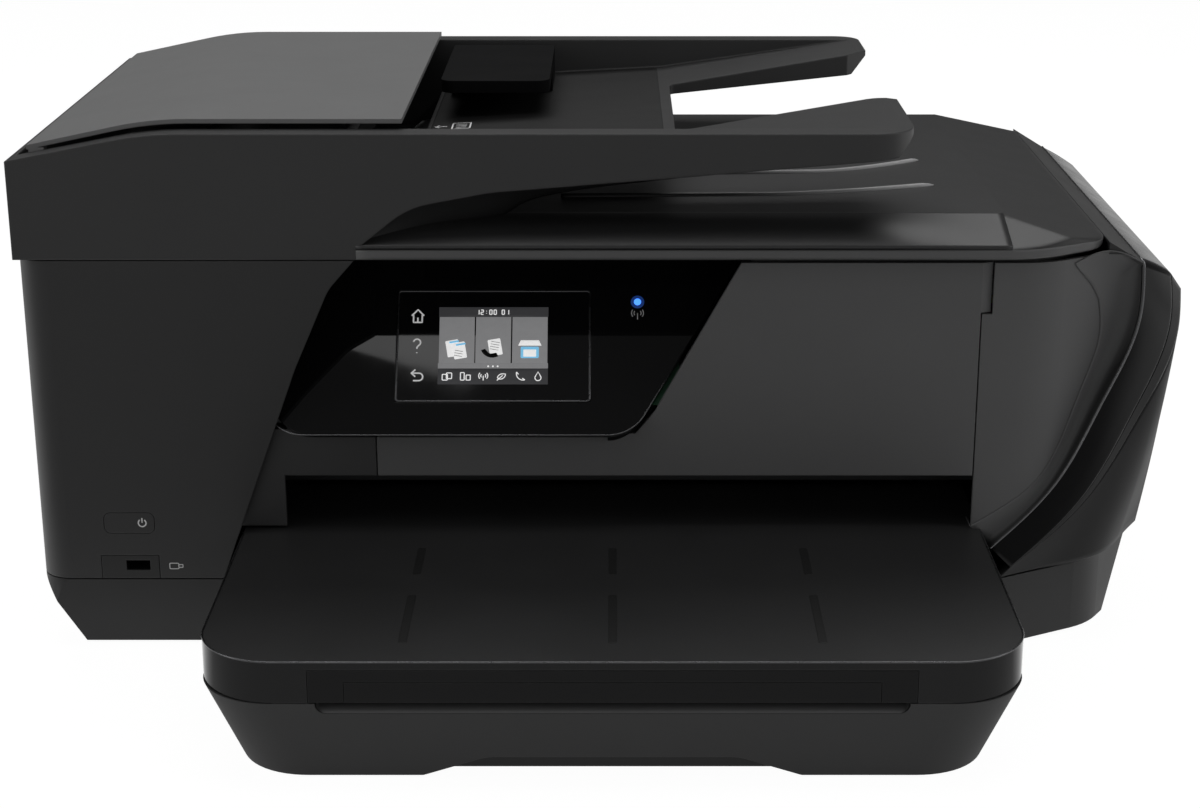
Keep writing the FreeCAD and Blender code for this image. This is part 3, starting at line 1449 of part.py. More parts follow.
def feeder_body():
    outline = [
        ("left_x", "lid_seam"),
        ("feeder_split_x", "lid_seam"),
        ("feeder_split_x", "lid_seam + lid_lip"),
        ("skirt_rise_x", "skirt_rise_z"),
        ("skirt_flat_x", "skirt_flat_z"),
        ("feeder_end_x - feeder_toe", "feeder_end_z - feeder_under"),
        ("feeder_end_x", "feeder_end_z"),
        ("feeder_end_x", "feeder_rim_z"),
        ("feeder_shoulder_x", "feeder_rim_z"),
        ("left_x", "feeder_left_z"),
    ]
    block = prism("feeder_block", "XZ", outline, ("front_y", "lid_back"),
                  {3: "skirt_radius", 4: "skirt_flat_radius", 8: "shoulder_radius"})
    inside = ("feeder_front", "feeder_back")
    tray = prism("feeder_tray_room", "XZ", [
        ("feeder_floor_x", "feeder_floor_z"),
        ("feeder_bend_x", "feeder_bend_z"),
        ("feeder_end_x + overcut", "feeder_high_z"),
        ("feeder_end_x + overcut", "overall_height + overcut"),
        ("feeder_floor_x", "overall_height + overcut"),
    ], inside)
    hollow = box("feeder_hollow", ("left_x + wall + seam_gap", "feeder_floor_x"), inside,
                 ("feeder_hollow_low", "overall_height + overcut"))
    mouth = box("feeder_mouth_room", ("feeder_split_x", "skirt_rise_x + overcut"),
                ("feeder_front + feeder_mouth", "feeder_back - feeder_mouth"),
                ("lid_top", "lid_top + feeder_mouth"))
    notch_front = "front_y + notch_front_depth"
    notch_back = "front_y + notch_back_depth"
    height = ("lid_top", "overall_height + overcut")
    notch = prism("feeder_notch", "XY", [
        ("notch_x", notch_front),
        ("feeder_end_x - tip_chamfer", f"{notch_front} + notch_splay"),
        ("feeder_end_x + overcut", f"{notch_front} + notch_splay - tip_chamfer"),
        ("feeder_end_x + overcut", f"{notch_back} + 2 * notch_splay"),
        ("feeder_end_x - tip_chamfer", f"{notch_back} + notch_splay"),
        ("notch_x", notch_back),
    ], height, {0: "notch_corner", 1: "tip_chamfer", 5: "notch_corner"})
    tips = []
    for name, radius, edge, middle in (
            ("front", "tip_front_radius", "front_y - overcut", "front_y + tip_front_radius"),
            ("back", "tip_back_radius", "lid_back + overcut", "lid_back - tip_back_radius")):
        middle_x = f"feeder_end_x - {radius}"
        span = (edge, middle) if name == "front" else (middle, edge)
        waste = box(f"tip_corner_{name}", (middle_x, "feeder_end_x + overcut"), span, height)
        tips.append(cut(f"tip_waste_{name}", waste,
                        rod(f"tip_round_{name}", "Z", radius, height, (middle_x, middle))))
    shaft_span = ("feeder_front - shaft_seat", "feeder_back + shaft_seat")
    bores = [rod(f"{word}_wall_bore", "Y", "pick_shaft_radius + running_fit", shaft_span,
                 (f"{word}_x", f"{word}_z"))
             for word in ("pick", "drive")]
    barrel, arm, hinge_bore = hinge_barrel("left")
    pad = pad_room("feeder_pad_room", "glass_x_left - glass_ledge", "feeder_split_x")
    shell = cut("feeder_shell", block, tray, hollow, mouth, notch, *tips, *bores, pad, *hinge_cuts("left"))
    pins = [rod(f"cover_pin_{name}", "Y", "cover_pin_radius", span, ("cover_pin_x", "cover_pin_z"))
            for name, span in (("front", ("feeder_front - wall", "feeder_front + cover_ear_wide")),
                               ("back", ("feeder_back - cover_ear_wide", "feeder_back + wall")))]
    node(cut("feeder_body", fuse("feeder_parts", shell, barrel, arm, *pins), hinge_bore))


def feeder_cover():
    left = "left_x + cover_left_gap"
    outline = [
        (left, "cover_left_z"),
        ("feeder_shoulder_x", "overall_height"),
        ("cover_right_x", "overall_height"),
        ("cover_right_x", "overall_height - cover_thick"),
        ("feeder_shoulder_x", "overall_height - cover_thick"),
        (left, "cover_left_z - cover_thick"),
    ]
    span = ("feeder_front + cover_side_gap", "feeder_back - cover_side_gap")
    skin = prism("feeder_cover_skin", "XZ", outline, span, {1: "shoulder_radius", 4: "shoulder_radius"})
    ears = []
    bores = []
    for name, y in (("front", (span[0], f"{span[0]} + cover_ear_wide")),
                    ("back", (f"{span[1]} - cover_ear_wide", span[1]))):
        at = ("cover_pin_x", "cover_pin_z")
        ears.append(rod(f"cover_ear_{name}", "Y", "cover_ear_radius", y, at))
        ears.append(box(f"cover_ear_arm_{name}",
                        ("cover_pin_x - cover_ear_radius", "cover_pin_x + cover_ear_radius"), y,
                        ("cover_pin_z", "cover_left_z - cover_thick / 2")))
        bores.append(rod(f"cover_bore_{name}", "Y", "cover_pin_radius + running_fit", y, at))
    node(cut("feeder_cover", fuse("feeder_cover_body", skin, *ears), *bores))


def feeder_rollers():
    span = ("feeder_front - shaft_seat + slide_gap", "feeder_back + shaft_seat - slide_gap")
    for word, wide in (("pick", "pick_wide"), ("drive", "3 * pick_wide")):
        at = (f"{word}_x", f"{word}_z")
        shaft = rod(f"{word}_shaft", "Y", "pick_shaft_radius", span, at)
        tyre = rod(f"{word}_tyre", "Y", f"{word}_radius",
                   (f"feeder_middle_y - {wide} / 2", f"feeder_middle_y + {wide} / 2"), at)
        node(fuse(f"feeder_{word}_roller", shaft, tyre))


def feeder_guide():
    x = ("feeder_guide_left_x", "feeder_guide_right_x")
    under = "feeder_guide_top - feeder_guide_thick"
    plate = prism("guide_plate", "XY", rectangle(x, ("feeder_guide_front_y", "feeder_guide_back_y")),
                  (under, "feeder_guide_top"), {0: "guide_corner", 1: "guide_corner"})
    web = box("guide_web", x, ("feeder_guide_web_y", "feeder_guide_back_y"), ("feeder_guide_low", under))
    node(fuse("feeder_guide", plate, web))


# Print engine


def side_frames():
    at = {"feed": ("feed_y", "feed_z"), "eject": ("eject_y", "eject_z")}
    plates = []
    for side in ("left", "right"):
        span = (f"frame_{side}_x", f"frame_{side}_x + frame_thick")
        plate = box(f"frame_plate_{side}", span, ("frame_front_y", "frame_back_y"),
                    ("base_floor", "frame_top_z"))
        holes = [rod(f"frame_{word}_{side}", "X", f"{word}_shaft_radius + running_fit", span, place)
                 for word, place in at.items()]
        if side == "left":
            holes.append(rod("frame_motor_left", "X", "belt_pin_radius + running_fit", span,
                             ("feed_motor_y", "feed_z")))
        plates.append(cut(f"side_frame_{side}", plate, *holes))
    return plates


def engine_deck():
    x = ("frame_left_in", "frame_right_x")
    node(box("engine_deck", x, ("engine_deck_front", "engine_deck_back"),
             ("engine_deck_low", "engine_deck_top")))
    rib_low = "paper_plane - rib_height"
    ribs = [box("platen_base", ("print_left_x", "print_right_x"),
                ("carriage_front_y", "carriage_back_y - nip_gap"),
                ("engine_deck_top", rib_low))]
    for index in range(SIZES["rib_count"]):
        left = f"print_left_x + {index} * (print_right_x - print_left_x - wall) / (rib_count - 1)"
        ribs.append(box(f"platen_rib_{index}", (left, f"{left} + wall"),
                        ("carriage_front_y + wall", "carriage_back_y - wall"),
                        (rib_low, "paper_plane - nip_gap")))
    node(fuse("platen", *ribs))
    block = box("service_block", ("carriage_left_x", "carriage_right_x"),
                ("carriage_front_y", "carriage_back_y - nip_gap"),
                ("engine_deck_top", "carriage_low - seam_gap"))
    caps = box("service_cap", ("carriage_left_x + cap_margin_x", "carriage_right_x - cap_margin_x"),
               ("carriage_front_y + cap_margin_y", "carriage_back_y - cap_margin_y"),
               (rib_low, "carriage_low"))
    node(cut("service_station", block, caps))


def sleeve_span(index):
    left = f"sleeve_first_x + {index} * sleeve_pitch"
    return (left, f"{left} + sleeve_long")


def driven_roller(word, pulleys):
    """A shaft with its paper sleeves and belt pulleys."""
    at = (f"{word}_y", f"{word}_z")
    parts = [rod(f"{word}_shaft", "X", f"{word}_shaft_radius", (f"pulley_{pulleys[-1]}_x", "shaft_right_x"),
                 at)]
    for index in range(SIZES["sleeve_count"]):
        parts.append(rod(f"{word}_sleeve_{index}", "X", f"{word}_radius", sleeve_span(index), at))
    for name in pulleys:
        wheel = (f"pulley_{name}_x", f"pulley_{name}_x + pulley_wide")
        parts.append(rod(f"{word}_pulley_{name}", "X", "pulley_radius", wheel, at))
    node(fuse(f"{word}_roller", *parts))


def nip_rollers(name, radius, wide, at, bar_x, bar_y):
    """Small wheels on a thin shaft that turns in a bar's two end plates; gives the bar back."""
    y, z = at
    parts = [rod(f"{name}_shaft", "X", "nip_shaft_radius", bar_x, at)]
    for index in range(SIZES["sleeve_count"]):
        left = sleeve_span(index)[0]
        parts.append(rod(f"{name}_wheel_{index}", "X", radius, (left, f"{left} + {wide}"), at))
    node(fuse(f"{name}_rollers", *parts))
    low = f"{z} + {radius} + nip_gap"
    plates = [box(f"{name}_bar_top", bar_x, bar_y, (low, f"{low} + wall"))]
    bores = []
    for end, span in (("left", (bar_x[0], f"{bar_x[0]} + wall")),
                      ("right", (f"{bar_x[1]} - wall", bar_x[1]))):
        plates.append(box(f"{name}_bar_{end}", span, (f"{y} - {radius}", f"{y} + {radius}"),
                          (f"{z} - nip_gap", low)))
        bores.append(rod(f"{name}_bore_{end}", "X", "nip_shaft_radius + running_fit", span, at))
    return cut(f"{name}_bar", fuse(f"{name}_bar_body", *plates), *bores)


def rollers():
    """The driven rollers, and the wheels that press on them; gives the wheels' bars back."""
    driven_roller("feed", ("inner", "outer"))
    driven_roller("eject", ("inner",))
    pinch = nip_rollers("pinch", "pinch_radius", "sleeve_long", ("feed_y", "pinch_z"),
                        ("print_left_x", f"{sleeve_span(SIZES['sleeve_count'] - 1)[1]} + seam_gap + wall"),
                        ("feed_y - pinch_radius", "rail_y"))
    spur = nip_rollers("spur", "spur_radius", "spur_wide", ("eject_y", "spur_z"),
                       ("frame_left_in", "frame_right_x"), ("eject_y - spur_radius", "eject_y + spur_radius"))
    return [pinch, spur]


def stadium(name, axis, radius, ends, across, span):
    """A rounded bar between two centres at one height; the ends turn about X or Y."""
    z = (f"{across} - ({radius})", f"{across} + {radius}")
    bar = box(name + "_bar", ends, span, z) if axis == "Y" else box(name + "_bar", span, ends, z)
    caps = [rod(f"{name}_end_{index}", axis, radius, span, (end, across)) for index, end in enumerate(ends)]
    return fuse(name, bar, *caps)


def belt(name, axis, radius, ends, across, span):
    outside = stadium(name + "_outside", axis, f"{radius} + belt_thick", ends, across, span)
    inside = stadium(name + "_inside", axis, radius, ends, across, span)
    return cut(name, outside, inside)


def drives():
    """The toothed belts, the pulleys that carry them and the two motors."""
    inner = ("pulley_inner_x", "pulley_inner_x + pulley_wide")
    outer = ("pulley_outer_x", "pulley_outer_x + pulley_wide")
    strand = ("rail_y - 2 * belt_wide + slide_gap", "rail_y - belt_wide + slide_gap")
    ring = "pulley_radius + slide_gap"
    node(group("drive_belts", [
        belt("eject_belt", "X", ring, ("eject_y", "feed_y"), "feed_z", inner),
        belt("feed_belt", "X", ring, ("feed_y", "feed_motor_y"), "feed_z", outer),
        belt("carriage_belt", "Y", "belt_radius", ("belt_left_x", "belt_right_x"), "belt_z", strand)]))
    at = ("feed_motor_y", "feed_z")
    pulley = rod("motor_pulley_wheel", "X", "pulley_radius", outer, at)
    shaft = rod("motor_pulley_shaft", "X", "belt_pin_radius", ("pulley_outer_x", "frame_left_in"), at)
    node(fuse("feed_motor_pulley", pulley, shaft))
    behind = ("rail_y + rail_thick", "rail_y + rail_thick + motor_long")
    right = ("belt_right_x", "belt_z")
    node(group("drive_motors", [
        rod("feed_motor", "X", "motor_radius", ("frame_left_in", "frame_left_in + motor_long"), at),
        rod("carriage_motor", "Y", "motor_radius", behind, right)]))
    wheel = rod("drive_wheel", "Y", "belt_radius - slide_gap", strand, right)
    axle = rod("drive_shaft", "Y", "belt_pin_radius", (strand[0], "rail_y + rail_thick"), right)
    node(fuse("drive_pulley", wheel, axle))
    left = ("belt_left_x", "belt_z")
    idler = rod("idler_wheel", "Y", "belt_radius - slide_gap", strand, left)
    bore = rod("idler_bore", "Y", "belt_pin_radius + running_fit", strand, left)
    node(cut("idler_pulley", idler, bore))


def carriage_rail():
    span = ("rail_y", "rail_y + rail_thick")
    plate = box("rail_plate", ("frame_left_in", "frame_right_x"), span, ("rail_low_z", "rail_high_z"))
    hole = rod("rail_hole", "Y", "belt_pin_radius + running_fit", span, ("belt_right_x", "belt_z"))
    pin = rod("rail_pin", "Y", "belt_pin_radius", ("rail_y - 2 * belt_wide", "rail_y + rail_thick / 2"),
              ("belt_left_x", "belt_z"))
    node(fuse("carriage_rail", cut("rail_holed", plate, hole), pin))


def guide_rods(scan_rod):
    carriage_rod = rod("carriage_rod", "X", "rod_radius", ("frame_left_in", "frame_right_x"),
                       ("rod_y", "rod_z"))
    node(group("guide_rods", [scan_rod, carriage_rod]))


def ink_places():
    """Left and right sides of the four cartridges, the black one first and wider."""
    left = "carriage_left_x + wall + slide_gap"
    spans = []
    for index, name in enumerate(("black", "cyan", "magenta", "yellow")):
        wide = "ink_black_wide" if index == 0 else "ink_wide"
        spans.append((name, (left, f"{left} + {wide}")))
        left = f"{left} + {wide} + ink_gap"
    return spans


def print_carriage():
    x = ("carriage_left_x", "carriage_right_x")
    y = ("carriage_front_y", "carriage_back_y")
    block = box("carriage_block", x, y, ("carriage_low", "carriage_high"))
    boss_wall = "rod_radius + rod_boss"
    boss = box("carriage_boss", x, ("carriage_back_y", f"rod_y + {boss_wall}"),
               (f"rod_z - ({boss_wall})", f"rod_z + {boss_wall}"))
    middle = "(carriage_left_x + carriage_right_x) / 2"
    clamp = box("carriage_clamp", (f"{middle} - belt_wide", f"{middle} + belt_wide"),
                ("rod_y", "rail_y - belt_wide"),
                (f"rod_z + {boss_wall} - wall", "belt_z - belt_radius - belt_thick - slide_gap"))
    rooms = [rod("carriage_bore", "X", "rod_radius + running_fit", x, ("rod_y", "rod_z"))]
    inside_y = ("carriage_front_y + wall", "carriage_back_y - wall")
    for name, (left, right) in ink_places():
        rooms.append(box(f"ink_room_{name}", (f"{left} - slide_gap / 2", f"{right} + slide_gap / 2"),
                         (f"{inside_y[0]} - slide_gap / 2", f"{inside_y[1]} + slide_gap / 2"),
                         ("carriage_low + wall", "carriage_high + overcut")))
    node(cut("print_carriage", fuse("carriage_body", block, boss, clamp), *rooms))
    for name, span in ink_places():
        tank = box(f"ink_tank_{name}", span, inside_y, ("carriage_low + wall", "carriage_high + ink_rise"))
        grip = box(f"ink_grip_{name}", span,
                   (f"{inside_y[0]} + ink_grip_start", f"{inside_y[0]} + ink_grip_start + ink_grip_long"),
                   ("carriage_high + wall", "carriage_high + ink_rise + overcut"))
        node(cut(f"ink_{name}", tank, grip))


# Electronics


def board_place(along, up):
    """A point of the main board from its shares of the board's length and height."""
    return (f"board_front_y + {along} * (board_back_y - board_front_y)",
            f"board_low_z + {up} * (board_high_z - board_low_z)")


def electronics():
    face = "board_left_x + board_thick"
    parts = [box("board_plate", ("board_left_x", face), ("board_front_y", "board_back_y"),
                 ("board_low_z", "board_high_z"))]
    half = "chip_width / 2"
    for index, (along, up, tall) in enumerate(CHIPS):
        y, z = board_place(along, up)
        parts.append(box(f"board_chip_{index}", (face, f"{face} + {tall}"),
                         (f"{y} - {half}", f"{y} + {half}"),
                         (f"{z} - {half}", f"{z} + {half}")))
    for index, (along, up) in enumerate((along, up) for along in POST_SHARES for up in POST_SHARES):
        parts.append(rod(f"board_post_{index}", "X", "screw_radius", ("left_x + wall", "board_left_x"),
                         board_place(along, up)))
    node(fuse("main_board", *parts))
    node(box("power_supply", ("supply_left_x", "supply_right_x"), ("supply_front_y", "supply_back_y"),
             ("base_floor", "base_floor + supply_height")))


def build():
    base_pan()
    feet()
    paper_tray()
    output_cover()
    output_extension()
    tray_guides()
    left_cover()
    key_board = power_key()
    front_pillar()
    front_door()
    right_panel()
    panel_board = control_panel()
    node(group("panel_boards", [key_board, panel_board]))
    right_cover()
    right_corner()
    rear_cover()
    rear_door()
    sockets(front_socket())
    scanner_deck()
    scanner_glass()
    guide_rods(scanner_tub())
    scan_bar()
    hinge_pins()
    lid_panel()
    feeder_body()
    feeder_cover()
    feeder_rollers()
    feeder_guide()
    engine_deck()
    node(group("chassis", side_frames() + rollers()))
    carriage_rail()
    drives()
    print_carriage()
    electronics()
    doc.recompute()


def check():
    """Stop if an object failed or a sub-part has no sound solid."""
    failed = [f"{item.Label}: {item.getStatusString()}" for item in doc.Objects
              if {"Invalid", "Error"} & set(item.State)]
    if failed:
        raise RuntimeError("failed objects: " + ", ".join(failed))
    for item in nodes:
        if item.Shape.isNull() or not item.Shape.isValid() or not item.Shape.Solids:
            raise RuntimeError("unsound sub-part: " + item.Label)


build()
check()
os.makedirs("parts", exist_ok=True)
for sub_part in nodes:
    sub_part.Shape.exportStep(f"parts/{sub_part.Label}.step")
    print(sub_part.Label, len(sub_part.Shape.Solids), round(sub_part.Shape.Volume / 1000, 1))
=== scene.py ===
import math

import bpy
import numpy as np
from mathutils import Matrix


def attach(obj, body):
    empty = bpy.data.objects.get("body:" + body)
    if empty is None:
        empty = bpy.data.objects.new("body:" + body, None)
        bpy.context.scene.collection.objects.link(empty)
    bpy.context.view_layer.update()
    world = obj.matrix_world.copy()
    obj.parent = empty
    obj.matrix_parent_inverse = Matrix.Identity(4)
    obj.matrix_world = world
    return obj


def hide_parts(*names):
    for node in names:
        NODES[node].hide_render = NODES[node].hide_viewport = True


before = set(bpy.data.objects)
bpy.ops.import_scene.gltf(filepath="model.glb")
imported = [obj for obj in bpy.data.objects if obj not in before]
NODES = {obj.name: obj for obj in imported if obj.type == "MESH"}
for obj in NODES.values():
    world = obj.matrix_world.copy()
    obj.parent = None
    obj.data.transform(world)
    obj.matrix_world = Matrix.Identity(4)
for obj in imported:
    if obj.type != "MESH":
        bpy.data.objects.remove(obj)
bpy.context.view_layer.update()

bl_info = {
    "name": "Inkjet printer dressing",
    "version": (1, 0, 0),
    "blender": (4, 5, 0),
    "location": "3D View > Sidebar > Printer",
    "description": "Finishes, printed signs, trim and stage for the packed printer",
    "category": "Object",
}

MM = 0.001


# Places of the printer, in millimetres, as in the part's source

FRONT_Y = -79.5
BACK_Y = 241.5
PANEL_TILT = math.radians(36.6)
PANEL_LOW_Z = 122.5
COVER_TOP_Z = 67.0
COVER_HALF = 196.5
TRAY_FRONT_Y = -241.5
TRAY_CORNER = 38.0
LID_TOP_Z = 232.0
LID_LIP_Z = 222.3
LID_LOW_Z = 217.0
LID_RIGHT_X = 258.0
LID_SLOPE_BACK_Y = -45.5
FASCIA_Y = -71.5
PANEL_BEND_X = 224.0
PANEL_BEND_DEPTH = 30.0
PANEL_BEND_RADIUS = 45.0
PANEL_CORNER = 22.0
PANEL_RISE = 110.9
BAND_LOW_Z = 46.0

# Stations of the swept right corner: inner trim edge in X and Z, from the tray up to the shoulder
TRIM_X = np.array([201.0, 236.0, 258.5, 276.5, 277.8])
TRIM_Z = np.array([59.0, 95.0, 137.0, 180.0, 208.9])
TRIM_DEPTH = 26.0
TRIM_LEAN = 24.0
TRIM_WIDTHS = (16.0, 22.0)
SHOULDER = np.array([298.3, 0.0, 196.8])
BULGE = np.array([306.5, 0.0, 186.0])
BULGE_BACK = 8.0
SEAM_Z = 41.6
SEAM_LINE = np.array([[206.0, -79.5, SEAM_Z], [262.0, -50.0, SEAM_Z], [289.0, -7.5, SEAM_Z]])
SIDE_FRONT_Y = 0.0
RAIL_POINTS = 64
FOOT_DEPTH = 14.0

# Thickness of thin sheets, and height of the touch glass over its panel
THIN_WALL = 0.6
GLASS_LIFT = 0.3


class PrinterColours(bpy.types.PropertyGroup):
    """Colours of the printer's finishes."""

    def colour(name, description, value):
        """A colour that the user may change."""
        return bpy.props.FloatVectorProperty(
            name=name, description=description, subtype="COLOR", size=3, min=0, max=1, default=value)

    shell: colour("Shell", "Grained black plastic of the covers", (0.021, 0.021, 0.0213))
    shell_wear: colour("Shell edges", "Plastic where hands have polished an edge", (0.030, 0.030, 0.031))
    fascia: colour("Fascia", "Lighter plastic of the door and the panel beside it", (0.105, 0.105, 0.106))
    lid: colour("Lid", "Plastic of the lid", (0.021, 0.021, 0.0214))
    feeder: colour("Feeder", "Plastic of the sheet feeder", (0.030, 0.030, 0.0304))
    tray: colour("Tray", "Plastic of the paper tray and the pillar beside the slot", (0.040, 0.040, 0.0405))
    cover: colour("Feeder cover", "Fine satin plastic of the feeder's cover", (0.19, 0.19, 0.191))
    gloss: colour("Gloss", "Polished black plastic", (0.0045, 0.0045, 0.0048))
    inner: colour("Inside", "Plastic of the mechanism", (0.020, 0.020, 0.021))
    glass: colour("Touch glass", "Glass over the screen", (0.0035, 0.0035, 0.004))
    # Bright edge also colours the beads that paint highlights along the trim's inner edge and the output
    # cover's top edge.
    edge: colour("Bright edge", "Thin polished edges", (0.16, 0.16, 0.165))
    sign: colour("Signs", "Printed pictograms", (0.78, 0.78, 0.78))
    light: colour("Status light", "Lit status lamp", (0.05, 0.20, 0.95))
    screen: colour("Screen", "Backlit tiles of the screen", (0.175, 0.175, 0.179))
    screen_bar: colour("Screen bars", "Dark bars of the screen", (0.030, 0.030, 0.032))
    screen_blue: colour("Screen blue", "Blue in the screen's pictures", (0.16, 0.44, 0.66))
    steel: colour("Steel", "Shafts, rails and frames", (0.46, 0.46, 0.47))
    rubber: colour("Rubber", "Feet and roller sleeves", (0.012, 0.012, 0.012))
    roller: colour("Rollers", "Grey paper rollers", (0.11, 0.11, 0.115))
    pad: colour("Pad", "White foam pad under the lid", (0.74, 0.74, 0.72))
    board: colour("Board", "Circuit board", (0.012, 0.085, 0.035))
    socket: colour("Sockets", "Black socket bodies", (0.010, 0.010, 0.010))
    ink_black: colour("Black ink", "Black cartridge", (0.012, 0.012, 0.013))
    ink_cyan: colour("Cyan ink", "Cyan cartridge", (0.010, 0.210, 0.430))
    ink_magenta: colour("Magenta ink", "Magenta cartridge", (0.430, 0.014, 0.160))
    ink_yellow: colour("Yellow ink", "Yellow cartridge", (0.720, 0.460, 0.010))


class PrinterSizes(bpy.types.PropertyGroup):
    """Sizes of the dressing."""

    def size(name, description, millimetres):
        """A length that the user may change, given in millimetres."""
        return bpy.props.FloatProperty(
            name=name, description=description, unit="LENGTH", min=0, precision=5, default=millimetres * MM)

    edge_round: size("Edge round", "Radius of the softened edges", 0.7)
    lid_round: size("Lid round", "Radius of the lid's soft creases", 5.0)
    grain_depth: size("Grain depth", "Depth of the moulded grain", 0.012)
    sign_stroke: size("Sign stroke", "Half width of a printed line", 0.42)
    sign_lift: size("Sign lift", "Height of the printed signs", 0.08)
    edge_bead: size("Edge bead", "Half width of the bright edges", 0.55)
    groove_width: size("Groove width", "Width of the lines on the output cover", 4.2)
    ridge_rise: size("Ridge rise", "Height of the paper ridges on the lid", 1.8)
    ridge_half: size("Ridge half width", "Half width of the paper ridges on the lid", 1.7)
    return_depth: size("Return depth", "Depth of the trim's inner return", 1.5)
    cowl_belly: size("Cowl belly", "How far the corner cowl swells above its lower edge", 5.0)


class PrinterStage(bpy.types.PropertyGroup):
    """Camera, floor and lamps."""

    def power(name, description, watts):
        """A lamp's power that the user may change."""
        return bpy.props.FloatProperty(name=name, description=description, unit="POWER", default=watts)

    lens: bpy.props.FloatProperty(
        name="Lens", description="Focal length on a 36 mm sensor", unit="CAMERA", default=67.5)
    eye: bpy.props.FloatVectorProperty(
        name="Eye", description="Place of the camera", subtype="TRANSLATION",
        default=(0.0, -1.1931, 0.5079))
    pitch: bpy.props.FloatProperty(
        name="Pitch", description="Turn of the camera about X", subtype="ANGLE", default=math.radians(71.7))
    shift: bpy.props.FloatProperty(
        name="Shift", description="Sideways shift of the frame", default=-0.0105)
    floor: bpy.props.FloatVectorProperty(
        name="Floor", description="Pale floor", subtype="COLOR", size=3, min=0, max=1, default=(0.82,) * 3)
    rear_lamp: power("Rear lamp", "Power of the softbox above and behind", 19.0)
    front_lamp: power("Front lamp", "Power of the small softbox above the front", 0.5)
    top_lamp: power("Top lamp", "Power of the long softbox overhead", 6.0)
    side_lamp: power("Side lamps", "Power of each side softbox", 5.0)
    sky: bpy.props.FloatProperty(
        name="Sky", description="Level of the soft light in front", min=0, default=0.42)


# Materials

# Noise of the finishes: waves in a metre, and detail
GRAIN = 1400.0
TONE_CLOUDS = (22.0, 4.0)
POLISH_CLOUDS = (35.0, 5.0)
GLOSS_WAVES = (16.0, 3.0)
RUB_MARKS = (60.0, 6.0)


def link(tree, source, target):
    """Join an output to an input."""
    tree.links.new(source, target)


def new_material(name):
    """A material with an empty Principled shader, and its node tree."""
    material = bpy.data.materials.new(name)
    material.use_nodes = True
    tree = material.node_tree
    return material, tree, tree.nodes["Principled BSDF"]


def object_coordinates(tree):
    """The place in object space, in metres."""
    return tree.nodes.new("ShaderNodeTexCoord").outputs["Object"]


def object_axis(tree, axis):
    """One coordinate of the place in object space."""
    split = tree.nodes.new("ShaderNodeSeparateXYZ")
    link(tree, object_coordinates(tree), split.inputs["Vector"])
    return split.outputs[axis]


def noise(tree, scale, detail=2.0):
    """Noise in object space; the scale counts its waves in a metre."""
    texture = tree.nodes.new("ShaderNodeTexNoise")
    texture.inputs["Scale"].default_value = scale
    texture.inputs["Detail"].default_value = detail
    link(tree, object_coordinates(tree), texture.inputs["Vector"])
    return texture.outputs["Fac"]


def spread(tree, value, low, high, start=0.3, end=0.7):
    """Map a value from start and end to low and high."""
    ranges = tree.nodes.new("ShaderNodeMapRange")
    for name, number in (("From Min", start), ("From Max", end), ("To Min", low), ("To Max", high)):
        ranges.inputs[name].default_value = number
    link(tree, value, ranges.inputs["Value"])
    return ranges.outputs["Result"]


def mix_colour(tree, factor, first, second):
    """Mix two colours by a factor; each colour is a tuple or a socket."""
    mixer = tree.nodes.new("ShaderNodeMix")
    mixer.data_type = "RGBA"
    link(tree, factor, mixer.inputs["Factor"])
    for socket, colour in ((mixer.inputs[6], first), (mixer.inputs[7], second)):
        if isinstance(colour, tuple):
            socket.default_value = colour
        else:
            link(tree, colour, socket)
    return mixer.outputs[2]


def product(tree, first, second, operation="MULTIPLY"):
    """Product of two values, or another operation on them."""
    maths = tree.nodes.new("ShaderNodeMath")
    maths.operation = operation
    link(tree, first, maths.inputs[0])
    link(tree, second, maths.inputs[1])
    return maths.outputs[0]


def paint(colour, share=1.0):
    """A shader's colour: one of the scene's by name, a grey by its level or a given one, times a share."""
    if isinstance(colour, str):
        colour = getattr(bpy.context.scene.printer_colours, colour)
    elif isinstance(colour, float):
        colour = (colour,) * 3
    return tuple(min(1.0, channel * share) for channel in colour) + (1.0,)


def millimetres(name):
    """One of the scene's sizes, in millimetres."""
    return getattr(bpy.context.scene.printer_sizes, name) / MM


def soft_edge(tree, radius="edge_round", widen=1.0):
    """The normal smoothed over an edge, and a mask that is high on the edge."""
    bevel = tree.nodes.new("ShaderNodeBevel")
    bevel.samples = 4
    bevel.inputs["Radius"].default_value = millimetres(radius) * MM * widen
    geometry = tree.nodes.new("ShaderNodeNewGeometry")
    dot = tree.nodes.new("ShaderNodeVectorMath")
    dot.operation = "DOT_PRODUCT"
    link(tree, bevel.outputs["Normal"], dot.inputs[0])
    link(tree, geometry.outputs["True Normal"], dot.inputs[1])
    return bevel.outputs["Normal"], spread(tree, dot.outputs["Value"], 1.0, 0.0, 0.80, 0.985)


def add_polish(tree, shader, clouds, low, high):
    """Roughness that clouds of noise carry between low and high."""
    link(tree, spread(tree, noise(tree, *clouds), low, high), shader.inputs["Roughness"])


def add_grain(tree, shader, normal=None, scale=GRAIN, depth=1.0, strength=0.6):
    """Moulded grain as a bump over a given normal; the depth is a share of the scene's grain depth."""
    bump = tree.nodes.new("ShaderNodeBump")
    bump.inputs["Strength"].default_value = strength
    bump.inputs["Distance"].default_value = millimetres("grain_depth") * MM * depth
    link(tree, noise(tree, scale), bump.inputs["Height"])
    if normal is not None:
        link(tree, normal, bump.inputs["Normal"])
    link(tree, bump.outputs["Normal"], shader.inputs["Normal"])


